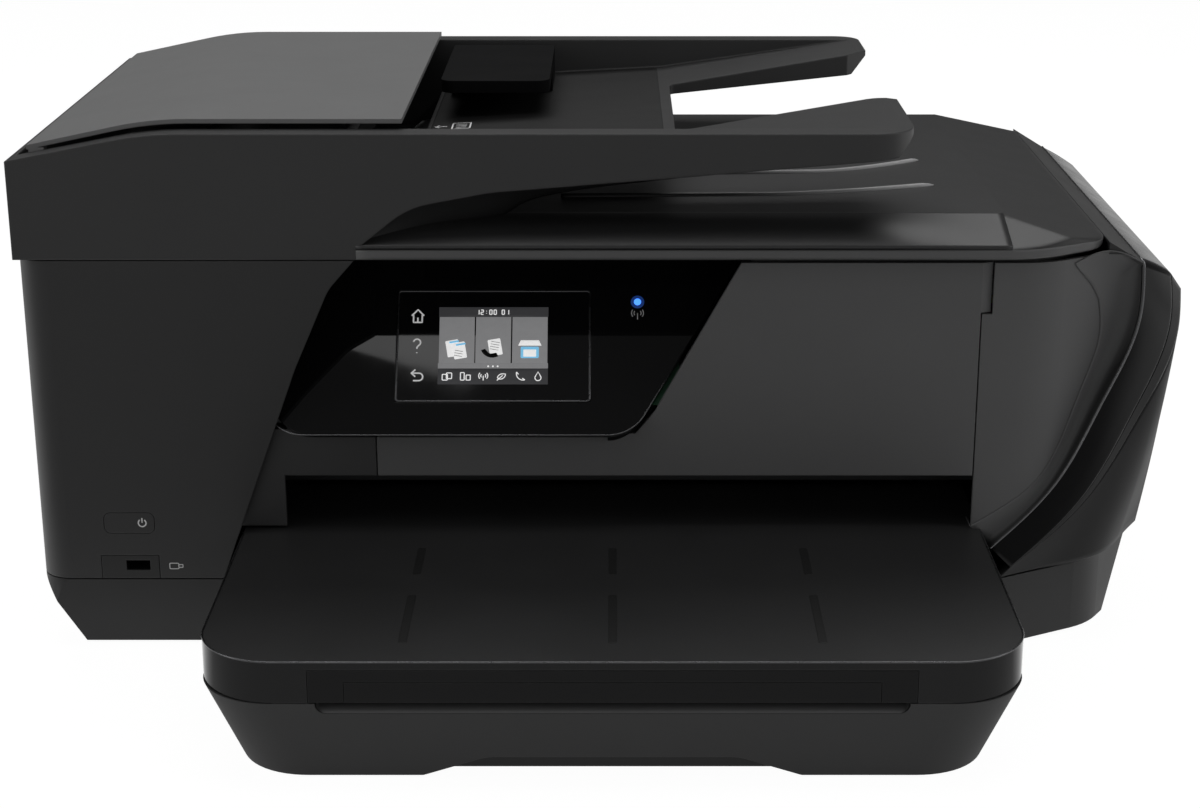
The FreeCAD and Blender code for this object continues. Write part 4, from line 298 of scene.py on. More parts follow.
def moulded(name, colour, wear, rough, grain=GRAIN, depth=1.0, gloss=0.5, radius="edge_round", widen=1.0):
    """Moulded plastic: fine grain, clouded tone and polish, and edges that hands have polished."""
    material, tree, shader = new_material(name)
    normal, edges = soft_edge(tree, radius, widen)
    tone = mix_colour(tree, noise(tree, *TONE_CLOUDS), paint(colour, 0.95), paint(colour, 1.05))
    link(tree, mix_colour(tree, edges, tone, paint(wear)), shader.inputs["Base Color"])
    add_polish(tree, shader, POLISH_CLOUDS, rough * 0.96, rough * 1.04)
    shader.inputs["Specular IOR Level"].default_value = gloss
    add_grain(tree, shader, normal, grain, depth)
    return material


def polished(name, colour, wear, rough, gloss=0.5):
    """Polished plastic or glass: faint waviness, fine rub marks in its polish, soft bright edges."""
    material, tree, shader = new_material(name)
    normal, edges = soft_edge(tree)
    tone = mix_colour(tree, noise(tree, *GLOSS_WAVES), paint(colour, 0.9), paint(colour, 1.1))
    link(tree, mix_colour(tree, edges, tone, paint(wear)), shader.inputs["Base Color"])
    add_polish(tree, shader, RUB_MARKS, rough * 0.75, rough * 1.3)
    shader.inputs["Specular IOR Level"].default_value = gloss
    add_grain(tree, shader, normal, 30.0, strength=0.12)
    return material


def metal(name, colour, rough):
    """Drawn or plated metal: clouded polish and a fine drawn grain."""
    material, tree, shader = new_material(name)
    normal, edges = soft_edge(tree, widen=0.5)
    tone = mix_colour(tree, noise(tree, 40.0, 4.0), paint(colour, 0.86), paint(colour, 1.1))
    link(tree, mix_colour(tree, edges, tone, paint(colour, 1.3)), shader.inputs["Base Color"])
    add_polish(tree, shader, (120.0, 4.0), rough * 0.8, rough * 1.25)
    shader.inputs["Metallic"].default_value = 1.0
    add_grain(tree, shader, normal, 500.0, strength=0.3)
    return material


def printed(name, colour, glow=0.0, share=1.0):
    """Printed ink or a backlit sign, a little uneven in tone."""
    material, tree, shader = new_material(name)
    tone = mix_colour(tree, noise(tree, 300.0, 3.0), paint(colour, 0.9 * share), paint(colour, share))
    link(tree, tone, shader.inputs["Base Color"])
    add_polish(tree, shader, (500.0,), 0.45, 0.6)
    if glow:
        link(tree, tone, shader.inputs["Emission Color"])
        shader.inputs["Emission Strength"].default_value = glow
    return material


def banded_cover(name):
    """The output cover: grained on top, polished on its upright band."""
    material, tree, shader = new_material(name)
    normal, edges = soft_edge(tree)
    top = spread(tree, object_axis(tree, "Z"), 0.0, 1.0, (COVER_TOP_Z - 0.5) * MM, (COVER_TOP_Z - 0.1) * MM)
    tone = mix_colour(tree, noise(tree, *TONE_CLOUDS), paint("shell", 0.88), paint("shell", 1.12))
    both = mix_colour(tree, top, paint("gloss"), tone)
    link(tree, mix_colour(tree, edges, both, paint("shell_wear")), shader.inputs["Base Color"])
    clouds = spread(tree, noise(tree, *POLISH_CLOUDS), 0.96, 1.04)
    polish = spread(tree, top, 0.08, 0.44, 0.0, 1.0)
    link(tree, product(tree, polish, clouds), shader.inputs["Roughness"])
    add_grain(tree, shader, normal, strength=0.3)
    return material


def trim_black(name):
    """The trim's polished black, a little wavy."""
    material, tree, shader = new_material(name)
    shader.inputs["Specular IOR Level"].default_value = 0.1
    tone = mix_colour(tree, noise(tree, *GLOSS_WAVES), paint("gloss", 0.9), paint("gloss", 1.1))
    link(tree, tone, shader.inputs["Base Color"])
    add_polish(tree, shader, RUB_MARKS, 0.13, 0.19)
    add_grain(tree, shader, None, 30.0, strength=0.03)
    return material


def ridge_skin(name):
    """The lid's plastic with a painted highlight: pale towards the ridges' right ends."""
    material, tree, shader = new_material(name)
    # Painted highlight: the colour turns pale with object X towards the ridges' right ends.
    painted_highlight = spread(tree, object_axis(tree, "X"), 0.0, 1.0, 60.0 * MM, 170.0 * MM)
    link(tree, mix_colour(tree, painted_highlight, paint("lid"), paint("cover", 2.2)), shader.inputs["Base Color"])
    add_polish(tree, shader, POLISH_CLOUDS, 0.40, 0.44)
    add_grain(tree, shader)
    return material


def flare_blend(name):
    """The fascia's plastic with painted shade: it darkens towards the trim, by the surface's own fade from 0
    to 1.
    """
    material, tree, shader = new_material(name)
    fade = tree.nodes.new("ShaderNodeAttribute")
    fade.attribute_name = "fade"
    share = spread(tree, fade.outputs["Fac"], 0.0, 1.0, 0.02, 0.8)
    link(tree, mix_colour(tree, share, paint("fascia"), paint("shell", 0.7)), shader.inputs["Base Color"])
    add_polish(tree, shader, POLISH_CLOUDS, 0.44, 0.48)
    add_grain(tree, shader)
    return material


# Finishes: how each is made, its colour, the colour of its worn edges, its roughness, and what else it has
FINISHES = {
    "grained_shell": (moulded, ("shell", "shell_wear", 0.46), {}),
    "base_shell": (moulded, ("shell", "shell_wear", 0.5), {"gloss": 0.3}),
    "cowl_shell": (moulded, ("shell", "shell_wear", 0.5), {"gloss": 0.12}),
    "fascia": (moulded, ("fascia", 0.112, 0.46), {}),
    "flare_blend": (flare_blend, (), {}),
    "lid_shell": (moulded, ("lid", "shell_wear", 0.42), {"radius": "lid_round"}),
    "lid_skin": (moulded, ("lid", "shell_wear", 0.42), {}),
    "ridge_skin": (ridge_skin, (), {}),
    "feeder_shell": (moulded, ("feeder", 0.06, 0.42), {"widen": 2.0}),
    "satin_cover": (moulded, ("cover", 0.16, 0.36), {"grain": 2200.0, "depth": 0.5}),
    "tray_shell": (moulded, ("tray", 0.05, 0.46), {}),
    "output_cover": (banded_cover, (), {}),
    "panel_black": (polished, ("gloss", 0.01, 0.03, 0.4), {}),
    "gloss_black": (polished, ("gloss", 0.02, 0.10, 0.35), {}),
    "trim_black": (trim_black, (), {}),
    "groove_black": (moulded, (0.010, 0.02, 0.5), {"gloss": 0.4}),
    "liner_black": (moulded, (0.011, 0.02, 0.5), {"gloss": 0.25}),
    "guide_black": (moulded, ("gloss", 0.012, 0.7), {"gloss": 0.05}),
    "shadow_black": (moulded, ("gloss", 0.01, 0.6), {"gloss": 0.2}),
    "inner_plastic": (moulded, ("inner", "shell_wear", 0.5), {}),
    "socket_plastic": (moulded, ("socket", 0.02, 0.4), {}),
    "touch_glass": (polished, ("glass", 0.02, 0.05), {}),
    "scan_glass": (polished, ((0.03, 0.036, 0.036), (0.1, 0.14, 0.13), 0.05), {}),
    "bright_edge": (metal, ("edge", 0.28), {}),
    "steel": (metal, ("steel", 0.3), {}),
    "rubber": (moulded, ("rubber", 0.03, 0.75), {"grain": 900.0, "depth": 2.0, "gloss": 0.3}),
    "roller_grey": (moulded, ("roller", 0.16, 0.6), {"grain": 1100.0, "depth": 1.5}),
    "white_foam": (moulded, ("pad", 0.8, 0.85), {"grain": 700.0, "depth": 3.0, "gloss": 0.2}),
    "circuit_board": (moulded, ("board", (0.05, 0.2, 0.08), 0.4), {"grain": 600.0, "depth": 1.5}),
    "sign_ink": (printed, ("sign",), {}),
    "sign_glow": (printed, ("sign", 0.35), {}),
    "blue_lamp": (printed, ("light", 2.2), {}),
    "blue_halo": (printed, ("light", 1.0, 0.12), {}),
    "screen_tile": (printed, ("screen", 0.9), {}),
    "screen_bar": (printed, ("screen_bar", 0.9), {}),
    "screen_blue": (printed, ("screen_blue", 0.9), {}),
    "screen_white": (printed, ("sign", 0.8), {}),
}
INKS = ("ink_black", "ink_cyan", "ink_magenta", "ink_yellow")
FINISHES.update({ink: (moulded, (ink, 0.2, 0.4), {}) for ink in INKS})


def finish(name):
    """A finish of the printer by name, made on first use from the scene's colours."""
    if name in bpy.data.materials:
        return bpy.data.materials[name]
    maker, values, options = FINISHES[name]
    return maker(name, *values, **options)


def dress(names, finish_name):
    """Give CAD nodes a finish."""
    for name in names:
        slots = NODES[name].data.materials
        slots.clear()
        slots.append(finish(finish_name))


# Surfaces


def shares(count):
    """Even steps from 0 to 1."""
    return np.linspace(0.0, 1.0, count)


def grid_points(x, y, z):
    """Points of a grid from their three coordinates, each over rows, columns or both."""
    return np.stack(np.broadcast_arrays(x, y, z), axis=-1)


def grid_faces(rows, columns, close_rows=False, close_columns=False):
    """Quads of a grid of points, row by row; a closed direction joins its last line to its first."""
    row = np.arange(rows if close_rows else rows - 1)
    column = np.arange(columns if close_columns else columns - 1)
    row, column = np.meshgrid(row, column, indexing="ij")
    after_row = (row + 1) % rows
    after_column = (column + 1) % columns
    corners = [row * columns + column, row * columns + after_column,
               after_row * columns + after_column, after_row * columns + column]
    return np.stack(corners, axis=-1).reshape(-1, 4)


def add_piece(name, points, faces, body, finish_name, slot, smooth=True):
    """A mesh from points in millimetres, riding on a body."""
    mesh = bpy.data.meshes.new(name)
    mesh.from_pydata((np.asarray(points) * MM).tolist(), [], [list(face) for face in faces])
    mesh.validate()
    mesh.polygons.foreach_set("use_smooth", np.full(len(mesh.polygons), smooth))
    mesh.materials.append(finish(finish_name))
    mesh.update()
    piece = bpy.data.objects.new(name, mesh)
    bpy.context.scene.collection.objects.link(piece)
    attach(piece, body)
    return piece


def tube_faces(rows, columns):
    """Faces of a tube of closed rows, with a lid on its first and its last row."""
    faces = grid_faces(rows, columns, False, True)[:, ::-1].tolist()
    faces.append(list(range(columns)))
    faces.append(list(range((rows - 1) * columns, rows * columns))[::-1])
    return faces


def add_sheet(name, points, body, finish_name, slot, wall=0.0, flip=True):
    """A piece from a grid of points, with a wall of a given thickness behind its face."""
    faces = grid_faces(*points.shape[:2])
    piece = add_piece(name, points.reshape(-1, 3), faces[:, ::-1] if flip else faces, body, finish_name, slot)
    if wall:
        solid = piece.modifiers.new("wall", "SOLIDIFY")
        solid.thickness = wall * MM
        solid.offset = -1.0
    return piece


def unit(vectors):
    """Vectors divided by their lengths."""
    return vectors / np.linalg.norm(vectors, axis=-1, keepdims=True)


def spline(stations, samples):
    """Smooth curve through stations: cubics by chord length that agree in their second derivatives."""
    stations = np.asarray(stations, float)
    gaps = np.linalg.norm(np.diff(stations, axis=0), axis=1)
    places = np.concatenate([[0.0], np.cumsum(gaps)])
    count = len(stations)
    system = np.eye(count)
    middle = np.arange(1, count - 1)
    system[middle, middle - 1] = gaps[:-1]
    system[middle, middle] = 2 * (gaps[:-1] + gaps[1:])
    system[middle, middle + 1] = gaps[1:]
    slopes = np.diff(stations, axis=0) / gaps[:, None]
    right = np.zeros_like(stations)
    right[1:-1] = 6 * np.diff(slopes, axis=0)
    second = np.linalg.solve(system, right)
    at = np.linspace(0.0, places[-1], samples)
    leg = np.clip(np.searchsorted(places, at, side="right") - 1, 0, count - 2)
    gap = gaps[leg][:, None]
    before = (at - places[leg])[:, None]
    after = gap - before
    return (second[leg] * after ** 3 / (6 * gap) + second[leg + 1] * before ** 3 / (6 * gap)
            + (stations[leg] / gap - second[leg] * gap / 6) * after
            + (stations[leg + 1] / gap - second[leg + 1] * gap / 6) * before)


def bead(path, normal, half, height, closed=False):
    """Points and faces of a half-round line: a semicircle, squeezed to half and height, along a path."""
    path = np.asarray(path, float)
    normal = np.broadcast_to(np.asarray(normal, float), path.shape)
    if closed:
        ahead = np.roll(path, -1, axis=0) - np.roll(path, 1, axis=0)
    else:
        ahead = np.gradient(path, axis=0)
    side = unit(np.cross(unit(ahead), normal))
    turn = np.linspace(0.0, np.pi, 7)
    across = np.concatenate([np.cos(turn), [-0.9, 0.9]]) * half
    up = np.concatenate([np.sin(turn), [-0.4, -0.4]]) * height
    points = path[:, None] + side[:, None] * across[None, :, None] + normal[:, None] * up[None, :, None]
    rows, columns = points.shape[:2]
    if closed:
        faces = grid_faces(rows, columns, True, True).tolist()
    else:
        faces = [face[::-1] for face in tube_faces(rows, columns)]
    return points.reshape(-1, 3), faces


def parabolas(first, bend, last, columns):
    """Rows of points on parabolas from the first rail to the last, drawn towards the rail of bends."""
    share = shares(columns)[:, None]
    return ((1 - share) ** 2 * first[:, None] + 2 * share * (1 - share) * bend[:, None]
            + share ** 2 * last[:, None])


def join(parts):
    """One set of points and faces out of several."""
    points = []
    faces = []
    start = 0
    for part_points, part_faces in parts:
        points.append(part_points)
        faces += [[index + start for index in face] for face in part_faces]
        start += len(part_points)
    return np.concatenate(points), faces


class Plane:
    """A flat face of the printer: its own u and v in millimetres, and the way out of it."""

    def __init__(self, origin, along, up):
        self.origin = np.array(origin, float)
        self.along = unit(np.array(along, float))
        self.up = unit(np.array(up, float))
        self.out = np.cross(self.along, self.up)

    def place(self, flat, lift=0.0):
        """Points of the face at u and v, lifted along its normal."""
        flat = np.asarray(flat, float)
        return self.origin + flat[:, :1] * self.along + flat[:, 1:] * self.up + self.out * lift

    def lines(self, strokes, half, height, lift=0.0):
        """Half-round lines along flat strokes; each stroke is its points and whether it closes."""
        return [bead(self.place(points, lift), self.out, half, height, closed) for points, closed in strokes]

    def tile(self, outline, height, lift=0.0, inset=0.15):
        """A flat tile: rings from the middle out to the outline, then down its rounded edge."""
        outline = np.asarray(outline, float)
        middle = outline.mean(axis=0)
        reach = outline - middle
        inner = reach * (1 - inset / np.maximum(np.linalg.norm(reach, axis=1, keepdims=True), inset * 2))
        rings = [(inner * 0.02, height), (inner * 0.5, height), (inner, height),
                 (reach, height * 0.6), (reach, -height * 0.4), (inner * 0.02, -height * 0.4)]
        points = np.concatenate([self.place(middle + ring, lift + level) for ring, level in rings])
        return points, tube_faces(len(rings), len(outline))


PANEL = Plane((0, FRONT_Y, PANEL_LOW_Z), (1, 0, 0), (0, math.sin(PANEL_TILT), math.cos(PANEL_TILT)))
FACE = Plane((0, FRONT_Y, 0), (1, 0, 0), (0, 0, 1))
REAR = Plane((0, BACK_Y, 0), (-1, 0, 0), (0, 0, 1))
COVER = Plane((0, 0, COVER_TOP_Z), (1, 0, 0), (0, 1, 0))
FEEDER_FLOOR = Plane((-104, 0, 258), (134, 0, 7), (0, 1, 0))
FEEDER_BACK = Plane((0, 216.9, 0), (1, 0, 0), (0, 0, 1))


def add_lines(name, plane, strokes, half, height, body, finish_name, slot, lift=0.0):
    """A piece of half-round lines along flat strokes of a face."""
    add_piece(name, *join(plane.lines(strokes, half, height, lift)), body, finish_name, slot)


def add_tiles(name, tiles, body, finish_name, slot, smooth=True):
    """A piece of several tiles."""
    add_piece(name, *join(tiles), body, finish_name, slot, smooth)


def arc(centre, radius, start, end, count=24):
    """Points of a circle between two angles in degrees."""
    turn = np.radians(np.linspace(start, end, count))
    return np.stack([centre[0] + radius * np.cos(turn), centre[1] + radius * np.sin(turn)], axis=1)


def ring(centre, radius, count=32):
    """Points of a whole circle."""
    return arc(centre, radius, 0, 360 * (1 - 1 / count), count)


def round_box(left, low, right, high, radius, count=8):
    """Outline of a rectangle with rounded corners, counterclockwise."""
    corners = [((right - radius, low + radius), -90), ((right - radius, high - radius), 0),
               ((left + radius, high - radius), 90), ((left + radius, low + radius), 180)]
    return np.concatenate([arc(centre, radius, start, start + 90, count) for centre, start in corners])


def line(*points, count=6):
    """Points along straight runs between corners."""
    points = np.asarray(points, float)
    share = shares(count)[:, None]
    runs = [first + (second - first) * share for first, second in zip(points[:-1], points[1:])]
    return np.concatenate([run[:-1] for run in runs] + [points[-1:]])


def stroke(*corners, count=6):
    """An open stroke of straight runs."""
    return line(*corners, count=count), False


def radio_waves(centre, radii, half_angle, count):
    """Open strokes of arcs to the right and the left of a point, in pairs of one radius."""
    return [(arc(centre, radius, side - half_angle, side + half_angle, count), False)
            for radius in radii for side in (0, 180)]


def round_path(corners, radii, count=14):
    """Open path through corners in a plane, with an arc of its own radius at each inner corner."""
    corners = np.asarray(corners, float)
    runs = [corners[:1]]
    for index, radius in enumerate(radii, start=1):
        corner = corners[index]
        back = unit(corners[index - 1] - corner)
        ahead = unit(corners[index + 1] - corner)
        half = np.arccos(np.clip(back @ ahead, -1, 1)) / 2
        reach = radius / np.tan(half)
        centre = corner + unit(back + ahead) * radius / np.sin(half)
        start = corner + back * reach - centre
        end = corner + ahead * reach - centre
        share = shares(count)[:, None]
        chord = unit(start * (1 - share) + end * share)
        runs.append(centre + chord * radius)
    runs.append(corners[-1:])
    return np.concatenate(runs)


def panel_front(x):
    """Y of the right panel's face at X: flat, an arc over the bend, then a slope back."""
    slope = PANEL_BEND_DEPTH / (TRIM_X[-1] + 0.5 - PANEL_BEND_X)
    turn = np.arctan(slope)
    reach = PANEL_BEND_RADIUS * np.tan(turn / 2)
    start = PANEL_BEND_X - reach
    end = PANEL_BEND_X + reach * np.cos(turn)
    inside = np.clip(x - start, 0.0, end - start)
    bent = PANEL_BEND_RADIUS - np.sqrt(PANEL_BEND_RADIUS ** 2 - inside ** 2)
    return FASCIA_Y + bent + np.maximum(0.0, x - end) * slope


# Swept right corner


def corner_rails(samples):
    """Rails of the right corner, each along the trim: inner edge, outer edge, bulge and seam."""
    share = (TRIM_Z - TRIM_Z[0]) / (TRIM_Z[-1] - TRIM_Z[0])
    inner = np.stack([TRIM_X, FRONT_Y + TRIM_DEPTH * share, TRIM_Z], axis=1)
    count = len(inner)
    along = shares(count)
    index = np.arange(count)
    ahead = inner[np.minimum(index + 1, count - 1)] - inner[np.maximum(index - 1, 0)]
    side = unit(np.stack([ahead[:, 2], np.zeros(count), -ahead[:, 0]], axis=1))
    width = TRIM_WIDTHS[0] + (TRIM_WIDTHS[1] - TRIM_WIDTHS[0]) * np.minimum(1.0, 2 * along)
    outer = inner + side * width[:, None] + np.outer(share, (0.0, TRIM_LEAN, 0.0))
    outer[-1] = SHOULDER + (0.0, inner[-1, 1] + TRIM_LEAN, 0.0)
    bulge = BULGE + (0.0, outer[-1, 1] + BULGE_BACK, 0.0)
    middle = outer + np.outer(along, bulge - outer[-1])
    seam = np.stack([np.interp(2 * along, (0, 1, 2), SEAM_LINE[:, axis]) for axis in range(3)], axis=1)
    return [spline(rail, samples) for rail in (inner, outer, middle, seam)]


def close_foot(points):
    """Rows of a surface with one more before the first, set back into the printer, to close its lower end."""
    return np.concatenate([points[:1] + (0.0, FOOT_DEPTH, 0.0), points])


def run_back(rails, ends, samples):
    """Rails carried on in straight lines from their last points to the given ends."""
    share = shares(samples + 1)[1:, None]
    return [np.concatenate([rail, rail[-1] + (np.asarray(end, float) - rail[-1]) * share])
            for rail, end in zip(rails, ends)]


class PRINTER_OT_trim(bpy.types.Operator):
    """Polished trim band that sweeps up the right front and back along the shoulder.

    One section, rolled at both edges and crowned between them, is carried along the inner and the outer rail.
    """

    bl_idname = "printer.trim"
    bl_label = "Trim band"

    # Section from the foot of the inner return to the outer edge: its share of the way across, and its lift
    # as a share of the return's depth where it is below the rail, and of the crown where it is above
    across_share = np.array([0.0, 0.0, 0.0, 0.008, 0.03, 0.1, 0.3, 0.5, 0.7, 0.9, 0.97, 1.0])
    lift_share = np.array([-1.0, -0.4, -0.08, -0.03, 0.0, 0.02, 0.05, 0.06, 0.05, 0.02, 0.01, 0.0])
    crown = 9.0
    shoulder_rows = 24
    edge_share, edge_lift = 0.012, 0.05

    def execute(self, context):
        ends = [(TRIM_X[-1], BACK_Y, TRIM_Z[-1]), (SHOULDER[0], BACK_Y, SHOULDER[2])]
        inner, outer = run_back(corner_rails(RAIL_POINTS)[:2], ends, self.shoulder_rows)
        across = outer - inner
        out = unit(np.cross(unit(across), unit(np.gradient(inner, axis=0))))
        out *= np.sign(out[:, :1] + 1e-9)
        height = self.lift_share * np.where(self.lift_share < 0, millimetres("return_depth"), self.crown)
        points = close_foot(inner[:, None] + across[:, None] * self.across_share[:, None]
                            + out[:, None] * height[:, None])
        band = add_sheet("trim_band", points, "printer", "trim_black", "gloss", THIN_WALL, flip=False)
        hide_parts("trim_strip")
        # Painted highlight: a bright bead along the trim's inner edge stands in for the reflection there.
        edge = inner + across * self.edge_share + out * self.edge_lift
        half = millimetres("edge_bead")
        add_piece("trim_edge", *bead(edge, out, half, half), "printer", "bright_edge", "gloss")
        return {"FINISHED"}


class PRINTER_OT_corner(bpy.types.Operator):
    """Swept cowl below the trim and the cheek between them: straight lines from rail to rail.

    The cowl swells by a sine over its height and a root that closes it at the seam, less at both ends.
    """

    bl_idname = "printer.corner"
    bl_label = "Corner cowl"

    swell_way = np.array([0.9, -0.43, 0.0])
    seam_close = 0.04
    sine_share = 0.5
    foot_fade, end_fade = 1.6, 18.0
    side_rows = 10
    cheek_columns, cowl_columns = 9, 25
    cowl_wall = 1.5

    def execute(self, context):
        ends = [(SHOULDER[0], SIDE_FRONT_Y, SHOULDER[2]), (BULGE[0], SIDE_FRONT_Y, BULGE[2]),
                SEAM_LINE[2] * (1, 0, 1) + (0, SIDE_FRONT_Y, 0)]
        outer, middle, seam = run_back(corner_rails(RAIL_POINTS)[1:], ends, self.side_rows)
        share = shares(self.cheek_columns)[:, None]
        cheek = outer[:, None] + (middle - outer)[:, None] * share
        add_sheet("trim_cheek", close_foot(cheek), "printer", "trim_black", "gloss", THIN_WALL, flip=False)
        down = shares(self.cowl_columns)[:, None]
        points = middle[:, None] + (seam - middle)[:, None] * down
        belly = (down * np.sqrt(np.clip((1 - down) / self.seam_close, 0.0, 1.0))
                 + self.sine_share * np.sin(np.pi * down))
        along = shares(len(middle))[:, None, None]
        fade = np.minimum(self.foot_fade * along, np.clip(self.end_fade * (1 - along), 0.0, 1.0))
        points += millimetres("cowl_belly") * belly * fade * self.swell_way
        points = close_foot(points)
        cowl = add_sheet("corner_cowl", points, "printer", "cowl_shell", "shell", self.cowl_wall, flip=False)
        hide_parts("right_corner")
        return {"FINISHED"}


class PRINTER_OT_flare(bpy.types.Operator):
    """Hollow between the right panel and the trim: it leaves the panel flat and turns out to the trim's edge.

    Each row is a parabola between two splines: one on the panel's face, and the trim's inner edge carried on
    over the brow under the lid's tip.
    """

    bl_idname = "printer.flare"
    bl_label = "Panel flare"

    # Stations in X and Z of the foot on the panel, beside the trim and on under the lid's tip
    foot_beside = ((191.2, 68.5), (229.7, 99.7), (247.5, 140.5), (257.0, 172.0), (255.0, 189.0))
    foot_above = ((250.0, 198.0), (245.0, 204.0), (241.5, 208.0), (239.5, 211.0))
    brow = ((269.4, -56.1, 213.7), (261.0, -56.8, 216.2), (252.0, -58.0, 215.5), (244.0, -60.7, 212.8))
    brow_points = 25
    columns = 28
    sink = 0.05
    flatness = 0.9
    foot_shade, top_shade = 2.4, -0.6

    def on_panel(self, x, z):
        """Points at X and Z, a little behind the right panel's face."""
        return np.stack([x, panel_front(x) + self.sink, z], axis=1)

    def execute(self, context):
        edge = corner_rails(RAIL_POINTS)[0]
        foot = np.concatenate([spline(self.foot_beside, len(edge)),
                               spline((self.foot_beside[-1],) + self.foot_above, self.brow_points)[1:]])
        edge = np.concatenate([edge, spline((edge[-1],) + self.brow, self.brow_points)[1:]])
        start = self.on_panel(foot[:, 0], foot[:, 1])
        bend = start + (self.on_panel(edge[:, 0], edge[:, 2]) - start) * self.flatness
        points = close_foot(parabolas(start, bend, edge, self.columns))
        flare = add_sheet("panel_flare", points, "printer", "flare_blend", "shell", THIN_WALL)
        # Painted shade: the fade is 0 on the panel and 1 at the trim, and less towards the top; it darkens
        # the fascia colour.
        shade = np.clip(np.linspace(self.foot_shade, self.top_shade, len(points)), 0.0, 1.0)
        shade = shade[:, None] * shares(self.columns)
        flare.data.attributes.new("fade", "FLOAT", "POINT").data.foreach_set("value", shade.ravel())
        return {"FINISHED"}


class PRINTER_OT_scoop(bpy.types.Operator):
    """Hollow under the feeder's front wall, from the wall's lower edge back to the lid's slope.

    Each row is a parabola between two splines: the wall's edge and a line on the lid.
    """

    bl_idname = "printer.scoop"
    bl_label = "Feeder scoop"

    wall_y = FRONT_Y + 0.6
    edge = ((-133.0, wall_y, 222.6), (-116.0, wall_y, 239.0), (-101.5, wall_y, 246.4), (-87.5, wall_y, 250.2),
            (-59.7, wall_y, 253.4), (-25.0, wall_y, 256.5), (20.0, wall_y, 259.0), (70.0, wall_y, 263.5))
    foot = ((-132.5, -78.4, 222.7), (-116.8, -71.2, 224.8), (-89.5, -58.9, 228.3), (-62.0, -50.7, 231.0),
            (-47.0, -46.0, 239.2), (-30.0, -45.0, 244.0), (20.0, -50.0, 252.0), (70.0, -70.0, 261.5))
    hollow = (0.0, 4.0, 2.5)
    rows, columns = 60, 12
    wall = 0.5

    def execute(self, context):
        edge = spline(self.edge, self.rows)
        foot = spline(self.foot, self.rows)
        points = parabolas(edge, (edge + foot) / 2 + self.hollow, foot, self.columns)
        add_sheet("feeder_scoop", points, "lid", "grained_shell", "shell", self.wall)
        return {"FINISHED"}


class PRINTER_OT_covers(bpy.types.Operator):
    """Grained black covers, doors and the base."""

    bl_idname = "printer.covers"
    bl_label = "Covers"

    def execute(self, context):
        dress(("base_pan",), "base_shell")
        dress(("left_cover", "right_cover", "rear_cover", "rear_door",
               "scanner_deck", "power_key", "right_corner"), "grained_shell")
        dress(("paper_tray", "front_pillar"), "tray_shell")
        dress(("right_panel", "front_door"), "fascia")
        dress(("lid_panel",), "lid_shell")
        dress(("feeder_body",), "feeder_shell")
        dress(("trim_strip",), "trim_black")
        dress(("feeder_cover",), "satin_cover")
        dress(("output_cover",), "output_cover")
        dress(("control_panel",), "panel_black")
        dress(("output_extension", "extension_stop"), "gloss_black")
        dress(("length_guide", "width_guide_left", "width_guide_right"), "inner_plastic")
        dress(("feeder_guide",), "guide_black")
        dress(("feet",), "rubber")
        return {"FINISHED"}


class PRINTER_OT_engine(bpy.types.Operator):
    """Finishes of the mechanism, the scanner and the electronics."""

    bl_idname = "printer.engine"
    bl_label = "Mechanism"

    def execute(self, context):
        dress(("scanner_tub", "engine_deck", "platen", "service_station", "print_carriage", "scan_bar"),
              "inner_plastic")
        dress(("guide_rods", "hinge_pins", "chassis", "carriage_rail"), "steel")
        dress(("drive_belts", "feed_roller", "feeder_pick_roller", "feeder_drive_roller"), "rubber")
        dress(("eject_roller", "pinch_rollers", "spur_rollers", "drive_pulley", "idler_pulley",
               "feed_motor_pulley", "drive_motors"), "roller_grey")
        dress(("lid_pad",), "white_foam")
        dress(("main_board", "panel_boards"), "circuit_board")
        dress(("mains_inlet", "data_sockets", "power_supply"), "socket_plastic")
        dress(("scanner_glass",), "scan_glass")
        for ink in INKS:
            dress((ink,), ink)
        return {"FINISHED"}


